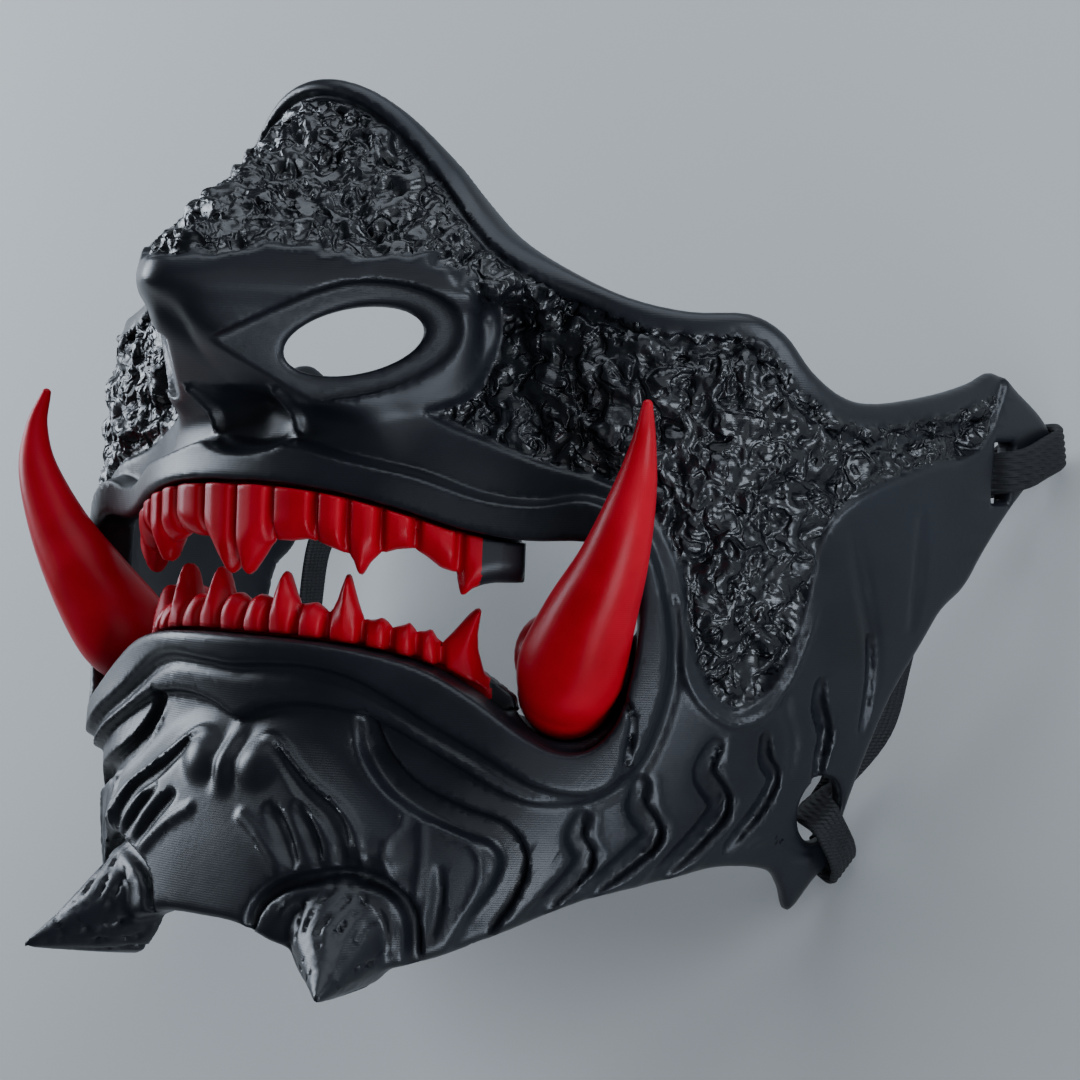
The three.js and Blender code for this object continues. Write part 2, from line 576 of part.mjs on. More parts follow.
// Joins edges, the ones that change the shape least first, until the mesh has the wanted number of faces
function reduce({ positions, faces }, wanted) {
  const count = positions.length / 3;
  const quadrics = Array.from({ length: count }, () => new Float64Array(10));
  const around = Array.from({ length: count }, () => new Set());
  const stamp = new Int32Array(count);
  const faceCount = faces.length / 3;
  const dead = new Uint8Array(faceCount);
  const corner = (f, c) => faces[3 * f + c];
  const at = i => [positions[3 * i], positions[3 * i + 1], positions[3 * i + 2]];
  const normal = (p, q, r) => {
    const [ux, uy, uz] = [q[0] - p[0], q[1] - p[1], q[2] - p[2]];
    const [vx, vy, vz] = [r[0] - p[0], r[1] - p[1], r[2] - p[2]];
    return [uy * vz - uz * vy, uz * vx - ux * vz, ux * vy - uy * vx];
  };
  for (let f = 0; f < faceCount; f++) {
    const [p, q, r] = [0, 1, 2].map(c => at(corner(f, c)));
    const n = normal(p, q, r);
    const length = Math.hypot(...n) || 1e-12;
    const [a, b, c] = n.map(v => v / length);
    const d = -(a * p[0] + b * p[1] + c * p[2]);
    const terms = [a * a, a * b, a * c, a * d, b * b, b * c, b * d, c * c, c * d, d * d];
    for (let i = 0; i < 3; i++) {
      around[corner(f, i)].add(f);
      terms.forEach((term, j) => { quadrics[corner(f, i)][j] += term * length / 2; });
    }
  }
  const thinness = (p, n) => {
    const longest = Math.max(...[0, 1, 2].map(c => {
      const o = (c + 1) % 3;
      return (p[c][0] - p[o][0]) ** 2 + (p[c][1] - p[o][1]) ** 2 + (p[c][2] - p[o][2]) ** 2;
    }));
    return Math.hypot(...n) / longest;
  };
  const loss = (q, [x, y, z]) => q[0] * x * x + 2 * q[1] * x * y + 2 * q[2] * x * z + 2 * q[3] * x
    + q[4] * y * y + 2 * q[5] * y * z + 2 * q[6] * y + q[7] * z * z + 2 * q[8] * z + q[9];
  const joined = (a, b) => {
    const q = quadrics[a].map((v, i) => v + quadrics[b][i]);
    const p = at(a);
    const r = at(b);
    const middle = p.map((v, i) => (v + r[i]) / 2);
    // A light pull to the middle of the edge keeps flat stretches even
    const pull = 2e-3 * (q[0] + q[4] + q[7]) + 1e-9;
    const [m0, m4, m7] = [q[0] + pull, q[4] + pull, q[7] + pull];
    const [bx, by, bz] = [pull * middle[0] - q[3], pull * middle[1] - q[6], pull * middle[2] - q[8]];
    const c0 = m4 * m7 - q[5] * q[5];
    const c1 = q[2] * q[5] - q[1] * m7;
    const c2 = q[1] * q[5] - q[2] * m4;
    const det = m0 * c0 + q[1] * c1 + q[2] * c2;
    const place = [
      (c0 * bx + c1 * by + c2 * bz) / det,
      (c1 * bx + (m0 * m7 - q[2] * q[2]) * by + (q[1] * q[2] - m0 * q[5]) * bz) / det,
      (c2 * bx + (q[1] * q[2] - m0 * q[5]) * by + (m0 * m4 - q[1] * q[1]) * bz) / det,
    ];
    const length2 = (p[0] - r[0]) ** 2 + (p[1] - r[1]) ** 2 + (p[2] - r[2]) ** 2;
    return { cost: Math.max(loss(q, place), 0) + 1e-5 * length2, place };
  };
  const heap = [];
  const push = item => {
    let i = heap.push(item) - 1;
    while (i > 0) {
      const up = (i - 1) >> 1;
      if (heap[up].cost <= heap[i].cost) break;
      [heap[up], heap[i]] = [heap[i], heap[up]];
      i = up;
    }
  };
  const pop = () => {
    const top = heap[0];
    const last = heap.pop();
    if (heap.length) {
      heap[0] = last;
      let i = 0;
      for (;;) {
        let low = i;
        for (const child of [2 * i + 1, 2 * i + 2]) {
          if (child < heap.length && heap[child].cost < heap[low].cost) low = child;
        }
        if (low === i) break;
        [heap[low], heap[i]] = [heap[i], heap[low]];
        i = low;
      }
    }
    return top;
  };
  const offer = (a, b) => push({ ...joined(a, b), a, b, stampA: stamp[a], stampB: stamp[b] });
  const ring = v => {
    const found = new Set();
    for (const f of around[v]) for (let c = 0; c < 3; c++) if (corner(f, c) !== v) found.add(corner(f, c));
    return found;
  };
  const offerAll = () => {
    for (let v = 0; v < count; v++) for (const w of ring(v)) if (w > v) offer(v, w);
  };
  let left = faceCount;
  let before = Infinity;
  while (left > wanted) {
    if (!heap.length) {
      // Edges that could not be joined before may be free now
      if (left === before) break;
      before = left;
      offerAll();
    }
    const { a, b, stampA, stampB, place } = pop();
    if (stamp[a] !== stampA || stamp[b] !== stampB) continue;
    const ringA = ring(a);
    const shared = [...ring(b)].filter(v => ringA.has(v)).length;
    if (shared !== 2) continue;
    const kept = [...around[a], ...around[b]].filter(f => !(around[a].has(f) && around[b].has(f)));
    const turns = kept.some(f => {
      const before = [0, 1, 2].map(c => at(corner(f, c)));
      const after = before.map((p, c) => (corner(f, c) === a || corner(f, c) === b ? place : p));
      const m = normal(...before);
      const n = normal(...after);
      const sizes = Math.hypot(...m) * Math.hypot(...n);
      const turned = m[0] * n[0] + m[1] * n[1] + m[2] * n[2] < 0.6 * sizes;
      return (turned && Math.hypot(...m) > 1e-3) || thinness(after, n) < Math.min(0.03, thinness(before, m) / 2);
    });
    if (turns) continue;
    for (const f of [...around[b]]) {
      if (around[a].has(f)) {
        for (let c = 0; c < 3; c++) around[corner(f, c)].delete(f);
        dead[f] = 1;
        left--;
      } else {
        for (let c = 0; c < 3; c++) if (corner(f, c) === b) faces[3 * f + c] = a;
        around[a].add(f);
      }
    }
    around[b].clear();
    [positions[3 * a], positions[3 * a + 1], positions[3 * a + 2]] = place;
    for (let i = 0; i < 10; i++) quadrics[a][i] += quadrics[b][i];
    stamp[a]++;
    stamp[b]++;
    for (const v of ring(a)) offer(a, v);
  }
  const renumbered = new Map();
  const index = [];
  const points = [];
  for (let f = 0; f < faceCount; f++) {
    if (dead[f]) continue;
    for (let c = 0; c < 3; c++) {
      const v = corner(f, c);
      if (!renumbered.has(v)) {
        renumbered.set(v, renumbered.size);
        points.push(...at(v));
      }
      index.push(renumbered.get(v));
    }
  }
  return { positions: points, faces: index };
}

function closedGeometry({ positions, faces }) {
  const geometry = new THREE.BufferGeometry();
  geometry.setAttribute('position', new THREE.Float32BufferAttribute(positions, 3));
  geometry.setIndex(faces);
  geometry.computeVertexNormals();
  return geometry;
}

function sculpt(field, low, high, grid, facets) {
  return closedGeometry(reduce(soften(polygonise(field, low, high, grid), softening), facets));
}

// Height of the lip edge at a place on the skin: the upper edge or the lower one
function lipEdge(s, pick) {
  const heights = mouthLine
    .filter(({ from, to }) => (from.x <= s) !== (to.x <= s))
    .map(({ from, to }) => from.y + (s - from.x) / (to.x - from.x) * (to.y - from.y));
  return heights.length ? pick(...heights) : NaN;
}

function toothRow({ front, grooves, edge }, pick) {
  const turned = pick === Math.max ? 1 : -1;
  const mmPerArchDegree = front * radians;
  const outline = [...edge, [edge.at(-1)[0], turned * rowReach], [0, turned * rowReach]];
  const freeEdge = lineThrough(outline, mmPerArchDegree, true, true, 1);
  return (x, y, z) => {
    const ax = Math.abs(x) / archWidening;
    const forward = archCentreY - y;
    const along = Math.atan2(ax, forward) / radians * mmPerArchDegree;
    const lean = Math.hypot(ax, forward) - front + toothHalfThickness;
    const s = Math.min(skinPlace(x, y), lipEndDegrees * mmPerDegree);
    const intoLip = (z - lipEdge(s, pick)) * turned;
    const form = formDistance(Math.abs(x), y, z);
    const behind = form + wall + pieceGap;
    const plate = Math.abs(behind + flangeThickness / 2) - flangeThickness / 2;
    const flange = Math.max(plate, intoLip - flangeHeight, -intoLip - rootHeight);
    const gums = Math.max(-behind - flangeThickness, lean, -intoLip - rootHeight, intoLip - 1);
    const inside = -insideOutline(freeEdge, along, z);
    const fullness = 1 - (1 - Math.min(Math.max(inside / tipRounding, 0), 1)) ** 2;
    const groove = Math.max(...grooves.map(at => bump(along - at * mmPerArchDegree, grooveHalfWidth)));
    const thick = toothHalfThickness * (tipThickness + (1 - tipThickness) * fullness) - grooveDepth * groove;
    const crowns = Math.max(smoothMax(Math.abs(lean) - thick, -inside, innerRounding), intoLip - 1);
    const row = Math.max(Math.min(flange, gums, crowns), along - rowEndDegrees * mmPerArchDegree);
    const clear = Math.min(shellDistance(x, y, z), taperedDistance(tuskPath, Math.abs(x), y, z));
    return smoothMax(row, pieceGap - clear, 0.3);
  };
}

// A place at an angle and height, at a distance off the plain form, found along the line from the upright axis
function offSkin(angle, z, off) {
  const out = new THREE.Vector3(Math.sin(angle * radians), -Math.cos(angle * radians), 0);
  const at = reach => new THREE.Vector3(0, axisY, z).addScaledVector(out, reach);
  let [near, far] = [20, 180];
  for (let i = 0; i < 40; i++) {
    const middle = (near + far) / 2;
    const p = at(middle);
    if (formDistance(p.x, p.y, p.z) < off) near = middle;
    else far = middle;
  }
  return at(near);
}

// A flat band along a line of places, each with the direction of its width
function ribbon(places) {
  const line = new THREE.CatmullRomCurve3(places.map(({ at }) => at));
  const widths = new THREE.CatmullRomCurve3(places.map(({ width }) => new THREE.Vector3(...width)));
  const positions = [];
  const faces = [];
  for (let i = 0; i < strapStations; i++) {
    const t = i / (strapStations - 1);
    const along = line.getTangent(t);
    const across = widths.getPoint(t);
    across.addScaledVector(along, -across.dot(along)).setLength(strapWidth / 2);
    const over = new THREE.Vector3().crossVectors(along, across).setLength(strapThickness / 2);
    for (const [a, b] of [[-1, -1], [1, -1], [1, 1], [-1, 1]]) {
      positions.push(...line.getPoint(t).addScaledVector(across, a).addScaledVector(over, b));
    }
    if (i === 0) continue;
    for (let c = 0; c < 4; c++) {
      const [p, q] = [4 * i + c, 4 * i + (c + 1) % 4];
      faces.push(p - 4, q - 4, q, p - 4, q, p);
    }
  }
  const end = 4 * (strapStations - 1);
  faces.push(0, 2, 1, 0, 3, 2, end, end + 1, end + 2, end, end + 2, end + 3);
  return closedGeometry({ positions, faces });
}

function strapGeometry() {
  const outside = strapGap + strapThickness / 2;
  const inside = -wall - outside;
  const place = (angle, z, off, width) => ({ at: offSkin(angle, z, off), width });
  const free = (x, y, z, width) => ({ at: new THREE.Vector3(x, y, z), width });
  const earWidth = [0, 0.25, -0.97];
  const runWidth = [0.1, 0.9, -0.35];
  const jawWidth = [0, 0.8, 0.6];
  const { angle: ear, z: earZ } = earSlot;
  const { angle: jaw, z: jawZ } = jawHole;
  return ribbon([
    place(ear + 5, earZ - 0.8, inside - 0.5, earWidth),
    place(ear + 2.4, earZ - 0.8, inside - 0.6, earWidth),
    place(ear + 0.5, earZ - 0.5, inside + 1.2, earWidth),
    place(ear - 0.2, earZ - 0.2, -wall / 2, earWidth),
    place(ear + 0.6, earZ + 0.2, outside - 0.8, earWidth),
    place(ear + 3, earZ + 1, outside + 0.5, earWidth),
    place(ear + 6.5, earZ + 2.6, outside + 0.4, earWidth),
    place(ear + 10.6, earZ + 4.4, outside - 0.2, earWidth),
    place(ear + 12.9, earZ + 5.2, -wall / 2, earWidth),
    place(ear + 11, earZ + 4, inside - 1, [0, 0.4, -0.9]),
    free(70.2, 15, 18, [0, 0.7, -0.6]),
    free(68.4, 8.5, 9, runWidth),
    free(67, 2.5, 2, runWidth),
    free(66, -0.5, -10, runWidth),
    free(64.6, -3.2, -21, runWidth),
    place(jaw + 6, jawZ + 3.4, inside - 2.8, [0, 0.9, 0]),
    place(jaw + 1.8, jawZ + 0.8, inside - 2, [0, 0.9, 0.4]),
    place(jaw - 0.3, jawZ, -wall / 2, jawWidth),
    place(jaw + 0.5, jawZ - 1.6, outside, jawWidth),
    place(jaw + 2, jawZ - 4.4, outside + 0.9, jawWidth),
    place(jaw + 4, jawZ - 8, outside + 0.6, jawWidth),
    place(jaw + 5.6, jawZ - 10.4, -wall / 2, jawWidth),
    place(jaw + 4, jawZ - 8.6, inside - 0.9, jawWidth),
    place(jaw + 2.2, jawZ - 6.4, inside - 0.9, jawWidth),
  ]);
}

function material(colour, roughness) {
  return new THREE.MeshStandardMaterial({ color: colour, roughness, metalness: 0 });
}

const blackPlastic = material(colours.shell, 0.4);
const redPlastic = material(colours.teeth, 0.35);
const elastic = material(colours.strap, 0.8);

function named(name, geometry, finish) {
  const mesh = new THREE.Mesh(geometry, finish);
  mesh.name = name;
  return mesh;
}

// The same piece on the other side of the face
function mirrored(geometry) {
  const copy = geometry.clone();
  copy.scale(-1, 1, 1);
  const index = copy.getIndex();
  for (let i = 0; i < index.count; i += 3) {
    const second = index.getX(i + 1);
    index.setX(i + 1, index.getX(i + 2));
    index.setX(i + 2, second);
  }
  copy.computeVertexNormals();
  return copy;
}

const shell = sculpt(shellDistance, [-84, -112, -66], [84, 30, 84], shellGrid, shellFacets);
const upperRow = sculpt(toothRow(upperTeeth, Math.max), [-46, -90, -6], [46, -52, 24], toothGrid, toothFacets);
const lowerRow = sculpt(toothRow(lowerTeeth, Math.min), [-46, -90, -32], [46, -52, 6], toothGrid, toothFacets);
const tuskField = (x, y, z) => taperedDistance(tuskPath, x, y, z);
const tusk = sculpt(tuskField, [36, -78, -26], [70, -50, 32], tuskGrid, tuskFacets);
const strap = strapGeometry();

const mask = new THREE.Group();
mask.add(
  named('mask_shell', shell, blackPlastic),
  named('upper_teeth', upperRow, redPlastic),
  named('lower_teeth', lowerRow, redPlastic),
  named('tusk_left', tusk, redPlastic),
  named('tusk_right', mirrored(tusk), redPlastic),
  named('strap_left', strap, elastic),
  named('strap_right', mirrored(strap), elastic),
);

// The mask lies on its straps: the line from the jaw wraps to the ear wraps turns level
const earWrap = offSkin(earSlot.angle + 12.9, earSlot.z + 5.2, 0);
const jawWrap = offSkin(jawHole.angle + 5.6, jawHole.z - 10.4, 0);
mask.rotation.x = -Math.atan2(earWrap.z - jawWrap.z, earWrap.y - jawWrap.y);
mask.updateMatrixWorld(true);
const box = new THREE.Box3().setFromObject(mask, true);
const centre = box.getCenter(new THREE.Vector3());
mask.position.set(-centre.x, -centre.y, -box.min.z);

const part = new THREE.Group();
part.add(mask);

export default part;
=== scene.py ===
import math
import time

import bpy
import numpy as np
from mathutils import Matrix, Vector


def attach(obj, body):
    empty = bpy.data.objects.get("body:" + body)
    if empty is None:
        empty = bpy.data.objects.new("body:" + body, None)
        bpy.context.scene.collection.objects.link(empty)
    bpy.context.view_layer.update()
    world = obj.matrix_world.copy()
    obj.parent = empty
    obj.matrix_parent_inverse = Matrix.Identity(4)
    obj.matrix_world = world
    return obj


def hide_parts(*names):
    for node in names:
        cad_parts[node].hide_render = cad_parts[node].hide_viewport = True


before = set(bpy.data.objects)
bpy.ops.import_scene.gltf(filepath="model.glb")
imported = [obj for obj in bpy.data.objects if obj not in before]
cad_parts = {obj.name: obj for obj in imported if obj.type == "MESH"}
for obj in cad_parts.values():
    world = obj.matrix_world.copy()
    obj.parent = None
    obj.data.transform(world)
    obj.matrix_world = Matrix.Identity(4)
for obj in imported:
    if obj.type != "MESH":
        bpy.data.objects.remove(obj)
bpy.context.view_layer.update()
startTime = time.time()


def report(stage):
    print(f"{stage} ({time.time() - startTime:.0f} s)")


# The face is shaped upright in mm: x to the wearer's left, y to the back of the head, z up the face.
# It then lies down on its straps, face up.
lying = {"turn": math.radians(-62.532718), "shift": (0, 29.932, 15.280)}


def layDown(points):
    x, y, z = np.asarray(points, float).T
    c, s = math.cos(lying["turn"]), math.sin(lying["turn"])
    return (np.stack([x, c * y - s * z, s * y + c * z], 1) + lying["shift"]) / 1000


def layDirection(direction):
    return Vector(layDown([direction])[0] - layDown([(0, 0, 0)])[0]).normalized()


# small maths shared by every form


def smoothMin(a, b, blend):
    h = np.maximum(blend - np.abs(a - b), 0) / blend
    return np.minimum(a, b) - h * h * blend / 4


def smoothMax(a, b, blend):
    return -smoothMin(-a, -b, blend)


def smoothStep(t):
    c = np.clip(t, 0, 1)
    return c * c * (3 - 2 * c)


def ridge(distance, halfWidth):
    t = np.clip(np.abs(distance / halfWidth), 0, 1)
    return (1 - t * t) ** 2


def throughTable(rows, steps=600):
    rows = np.array(rows, float)
    t, v = rows[:, 0], rows[:, 1:]
    fine = np.linspace(t[0], t[-1], steps)
    i1 = np.clip(np.searchsorted(t, fine, side="right"), 1, len(t) - 1)
    i0 = i1 - 1
    before = np.where(i0 > 0, i0 - 1, i1)
    after = np.where(i1 < len(t) - 1, np.minimum(i1 + 1, len(t) - 1), i0)
    tBefore = np.where(i0 > 0, t[i0 - 1], t[i1])
    tAfter = np.where(i1 < len(t) - 1, t[after], t[i0])
    half = (t[i1] - t[i0]) / 2
    wB, wA = half / (t[i0] - tBefore), half / (tAfter - t[i1])
    p = (fine - t[i0]) / (t[i1] - t[i0])
    terms = [
        (before, -wB * p**3 + 2 * wB * p**2 - wB * p),
        (i0, (1 + wB) * p**3 + (-1.5 - 2 * wB) * p**2 + (wB - 0.5) * p + 1),
        (i1, (-1 - wA) * p**3 + (1.5 + wA) * p**2 + 0.5 * p),
        (after, wA * p**3 - wA * p**2),
    ]
    values = sum(weight[:, None] * v[index] for index, weight in terms)
    return lambda x: [np.interp(x, fine, values[:, c]) for c in range(v.shape[1])]


def roundedLine(points, steps=4):
    p = np.array(points, float)
    ends = np.concatenate([p[:1], p, p[-1:]])
    out = []
    for i in range(len(p) - 1):
        a, b, c, d = ends[i : i + 4]
        for t in np.arange(steps) / steps:
            bend = (2 * a - 5 * b + 4 * c - d) * t**2 + (3 * b - a - 3 * c + d) * t**3
            out.append(((2 * b) + (c - a) * t + bend) / 2)
    return np.array(out + [p[-1]])


def lattice(p, seed):
    # a well mixed whole number for each corner of the grid
    n = (p[..., 0] * 73856093) ^ (p[..., 1] * 19349663) ^ (p[..., 2] * 83492791) ^ (seed * 2654435)
    n = (n ^ (n >> 13)) * 1274126177
    return (n ^ (n >> 16)) & 0x7FFFFFFF


def noise(points, size, seed=1):
    p = np.asarray(points, float) / size + 1000
    cell = np.floor(p).astype(np.int64)
    f = p - cell
    u = f * f * f * (f * (f * 6 - 15) + 10)
    total = np.zeros(len(p))
    for corner in np.ndindex(2, 2, 2):
        c = np.array(corner)
        n = lattice(cell + c, seed)
        theta = (n % 1024) / 1024 * 2 * math.pi
        up = ((n // 1024) % 1024) / 512 - 1
        flat = np.sqrt(1 - up * up)
        offset = f - c
        dot = offset[:, 0] * flat * np.cos(theta) + offset[:, 1] * flat * np.sin(theta) + offset[:, 2] * up
        weight = np.prod(np.where(c == 1, u, 1 - u), axis=1)
        total += weight * dot
    return total * 1.6


# plain form of the face

face = {
    "wall": 4,
    "edgeRounding": 2,
    "innerRounding": 1,
    "lipRounding": 1.3,
    "pieceGap": 0.6,
    "levels": [  # height, half width, depth, squareness
        (-66, 56, 91, 2.4), (-50, 61, 89, 2.4), (-33, 67, 84.5, 2.5), (-18, 72, 76, 2.8), (0, 77, 68, 3.3),
        (20, 79, 66, 3.6), (45, 79, 64, 3.2), (62, 77, 59, 2.8), (85, 74, 52, 2.6),
    ],
    "archRadius": 41.5, "archWidening": 1.09, "archCentreY": -42, "muzzleBlend": 9,
    "muzzleFade": [(-40, 0.84), (-22, 0.95), (-10, 1), (14, 1), (24, 0.94), (40, 0.72)],
}
nose = {
    "tipY": -102, "tipZ": 50, "tipRadius": 6,
    "pointY": -104.6, "pointZ": 44.8, "pointSlope": 0.5, "pointSoftness": 2,
    "ridgeSlope": 0.73, "roofSlope": 0.75, "sideSlope": 1.03,
    "underY": -80.5, "underZ": 27.1, "underSlope": 0.7, "edgeRadius": 2.5, "blend": 5, "wingRise": 5,
}
nostril = {
    "centre": (22, -84.5, 38), "proud": 1.2, "foreFall": 0.08, "sag": 1.8,
    "lean": 0.27, "leanTop": 8, "bandHeight": 1.7, "wedgeSetBack": 1,
    # each oval on the side of the nose: along, up, half length, half height, squareness, tilt
    "rim": (-2, 1, 21.4, 13, 2.6, 0),
    "recess": (-4, -0.8, 21, 9.2, 2, 0.1),
    "foreDepth": 0.05, "narrowing": 0.035, "narrowest": 0.2, "narrowSoftness": 5,
    "hole": (0.9, -1.4, 10.5, 5, 2, 0.18), "flareWidth": 0.7, "flareDepth": 3,
    "cupWall": 3, "cupDepth": 6.5, "cupSetBack": 1.2, "stepRounding": 0.3,
}
levelAt = throughTable(face["levels"])
muzzleAt = throughTable(face["muzzleFade"])


def sectionDistance(x, y, halfWidth, depth, squareness):
    across = np.maximum(np.abs(x) / halfWidth, 1e-4)
    ahead = np.maximum(-y / depth, 1e-4)
    acrossP, aheadP = across**squareness, ahead**squareness
    radius = (acrossP + aheadP) ** (1 / squareness)
    fall = radius ** (1 - squareness)
    return (radius - 1) / np.hypot(fall * acrossP / across / halfWidth, fall * aheadP / ahead / depth)


def underNose(y, z):
    n = nose
    return (n["underZ"] + n["underSlope"] * (n["underY"] - y) - z) / math.hypot(1, n["underSlope"])


def noseDistance(x, y, z):
    n = nose
    side = np.hypot(x, n["tipRadius"]) - n["tipRadius"]
    ridgeZ = n["tipZ"] + n["ridgeSlope"] * (y - n["tipY"])
    roof = (z - ridgeZ + n["roofSlope"] * side) / math.hypot(1, n["ridgeSlope"], n["roofSlope"])
    point = n["pointY"] + n["pointSlope"] * np.hypot(z - n["pointZ"], n["pointSoftness"])
    cheek = (n["sideSlope"] * side - y + np.minimum(point, n["tipY"] + 1)) / math.hypot(1, n["sideSlope"])
    return smoothMax(smoothMax(cheek, roof, n["edgeRadius"]), underNose(y, z), n["edgeRadius"])


def flarePlace(x, y, z):
    # along, up and out of the flat side of the nose
    slope = nose["sideSlope"]
    outX, outY = slope / math.hypot(1, slope), -1 / math.hypot(1, slope)
    dx, dy = np.abs(x) - nostril["centre"][0], y - nostril["centre"][1]
    return -dx * outY + dy * outX, z - nostril["centre"][2], dx * outX + dy * outY


def wingFront(up):
    # the wing of the nose leans back below its band
    return nostril["proud"] + nostril["lean"] * np.minimum(up - nostril["leanTop"], 0)


def ovalDistance(oval, along, up, grow=0, share=1):
    middle, level, halfLength, halfHeight, squareness, tilt = oval
    height = (halfHeight + grow) * share
    across = np.abs((along - middle) / (halfLength + grow))
    rise = np.abs((up - level - tilt * along) / height)
    return ((across**squareness + rise**squareness) ** (1 / squareness) - 1) * height


def recessDistance(x, y, z):
    n = nostril
    along, up, out = flarePlace(x, y, z)
    above = up - n["recess"][1] - n["recess"][5] * along > 0
    ahead = (np.hypot(along, n["narrowSoftness"]) - along) / 2
    share = np.where(above, np.clip(1 - n["narrowing"] * ahead, n["narrowest"], 1), 1)
    behind = -(out - wingFront(up) + n["bandHeight"] - n["foreDepth"] * along)
    return smoothMax(ovalDistance(n["recess"], along, up, 0, share), behind, face["innerRounding"])


def nostrilDistance(x, y, z):
    along, up, out = flarePlace(x, y, z)
    grow = nostril["flareWidth"] * smoothStep((out + nostril["flareDepth"]) / nostril["flareDepth"])
    return ovalDistance(nostril["hole"], along, up, grow)


def nostrilCupDistance(x, y, z, form):
    out = flarePlace(x, y, z)[2]
    around = nostrilDistance(x, y, z) - nostril["cupWall"]
    cup = smoothMax(around, -out - nostril["cupDepth"], face["edgeRounding"])
    return smoothMax(cup, form + nostril["cupSetBack"], face["innerRounding"])


def formDistance(x, y, z):
    x = np.abs(x)
    halfWidth, depth, squareness = levelAt(z)
    cheeks = sectionDistance(x, y, halfWidth, depth, squareness)
    radius = face["archRadius"] * muzzleAt(z)[0]
    muzzle = sectionDistance(x, y - face["archCentreY"], radius * face["archWidening"], radius, 2)
    plain = smoothMin(cheeks, muzzle, face["muzzleBlend"])
    wedge = noseDistance(x, y, z)
    edge = nose["edgeRadius"]
    above = smoothMax(wedge, nostril["centre"][2] + nose["wingRise"] - z, edge)
    along, up, out = flarePlace(x, y, z)
    behindWing = out - wingFront(up) + nostril["wedgeSetBack"]
    low = smoothMax(smoothMax(wedge, x - nostril["centre"][0], edge), behindWing, edge)
    front = out - wingFront(up) - nostril["foreFall"] * np.minimum(along, 0)
    flare = smoothMax(ovalDistance(nostril["rim"], along, up), front, edge)
    flare = smoothMax(flare, underNose(y, z) - nostril["sag"], face["edgeRounding"])
    return smoothMin(plain, smoothMin(smoothMin(above, low, edge), flare, edge), nose["blend"])


# lines on the skin: degrees around the upright axis behind the face, and height

skin = {
    "axisY": 30, "mmPerDegree": 1.9, "step": 0.35, "low": (0, -72), "high": (178, 92),
    "edge": [
        (0, 78.5), (4.5, 77), (8.7, 72.8), (13.2, 65.7), (17.1, 59.2), (21, 53.5), (25.5, 49),
        (31, 44.8), (36.5, 42.8), (41.5, 42.8), (44.7, 40), (47.3, 34.6), (50.5, 31), (54.5, 30.3),
        (62.6, 32.2), (69, 34.4), (73.4, 36.4), (77.5, 33.6), (82.5, 30), (85, 26.5), (84.5, 22),
        (80, 17.6), (75.9, 12.7), (72.2, 6.9), (69.5, 1.8), (66, -1.8), (63.8, -6.5),
        (60.2, -15.5), (58, -25), (56.5, -34), (55.8, -42), (53.6, -45), (50.4, -50),
        (48.7, -45.8), (46.5, -42.6), (41, -41.6), (36.1, -43.3), (28.9, -46.3), (22.5, -51.5),
        (17.5, -55.5), (12.5, -57.5), (8, -54.5), (4, -51.8), (0, -51.4),
    ],
    "mouth": [
        (0, 15.2), (4, 15.1), (9, 14.1), (14, 11.9), (19, 9.1), (24, 7.8), (29, 8), (31.9, 6),
        (33, 0), (33.1, -8), (32.3, -17), (30.4, -22), (28, -23.2), (25, -20.9), (20.3, -15.4),
        (16, -11.6), (10.5, -9.4), (5, -8.6), (0, -8.5),
    ],
    "lip": [
        (0, 20.2), (1.6, 20.4), (3.2, 21.1), (4.8, 21.9), (9.5, 19.9), (15.1, 17.8), (20.1, 14.8),
        (24.5, 14), (29, 15), (32.8, 11.8), (35, 5), (36.1, -6), (35.8, -15), (33.8, -24.9),
        (30.6, -29.6), (26.4, -29), (21.6, -24.2), (17.5, -20.5), (14.5, -17.5), (11, -14.4),
        (7.4, -13), (3, -13.2), (0, -13.6),
    ],
    "lowerLip": [
        (0, -5), (30, -12), (33, -24), (30.6, -30.6), (26.3, -31.6), (23.3, -30), (19.1, -25.9),
        (13.2, -20.8), (9.9, -19.4), (6.1, -19), (2.8, -20.1), (0, -22),
    ],
    "chin": [
        (0, -22), (2.8, -20.2), (6, -20.6), (9.1, -23.5), (13.1, -30.3), (16.3, -35.6),
        (17.2, -41.2), (15.4, -44.5), (12, -47), (6, -70), (0, -70),
    ],
    "hide": [
        (0, 90), (40, 90), (75, 60), (72, 27), (61.3, 20.5), (55.8, 18), (51.4, 14.6), (48.8, 9.4),
        (47.8, 0.3), (46.8, -7.3), (45, -13.6), (42, -17), (40, -15.8), (38.3, -11.6), (37, -4.5),
        (36.2, 4), (34, 11.6), (30.4, 16.2), (24.6, 18.9), (19.9, 21.9), (14.5, 26.2), (17.8, 30),
        (19.4, 38), (18.4, 45.5), (14.6, 49), (7, 49.2), (0, 48.6),
    ],
}
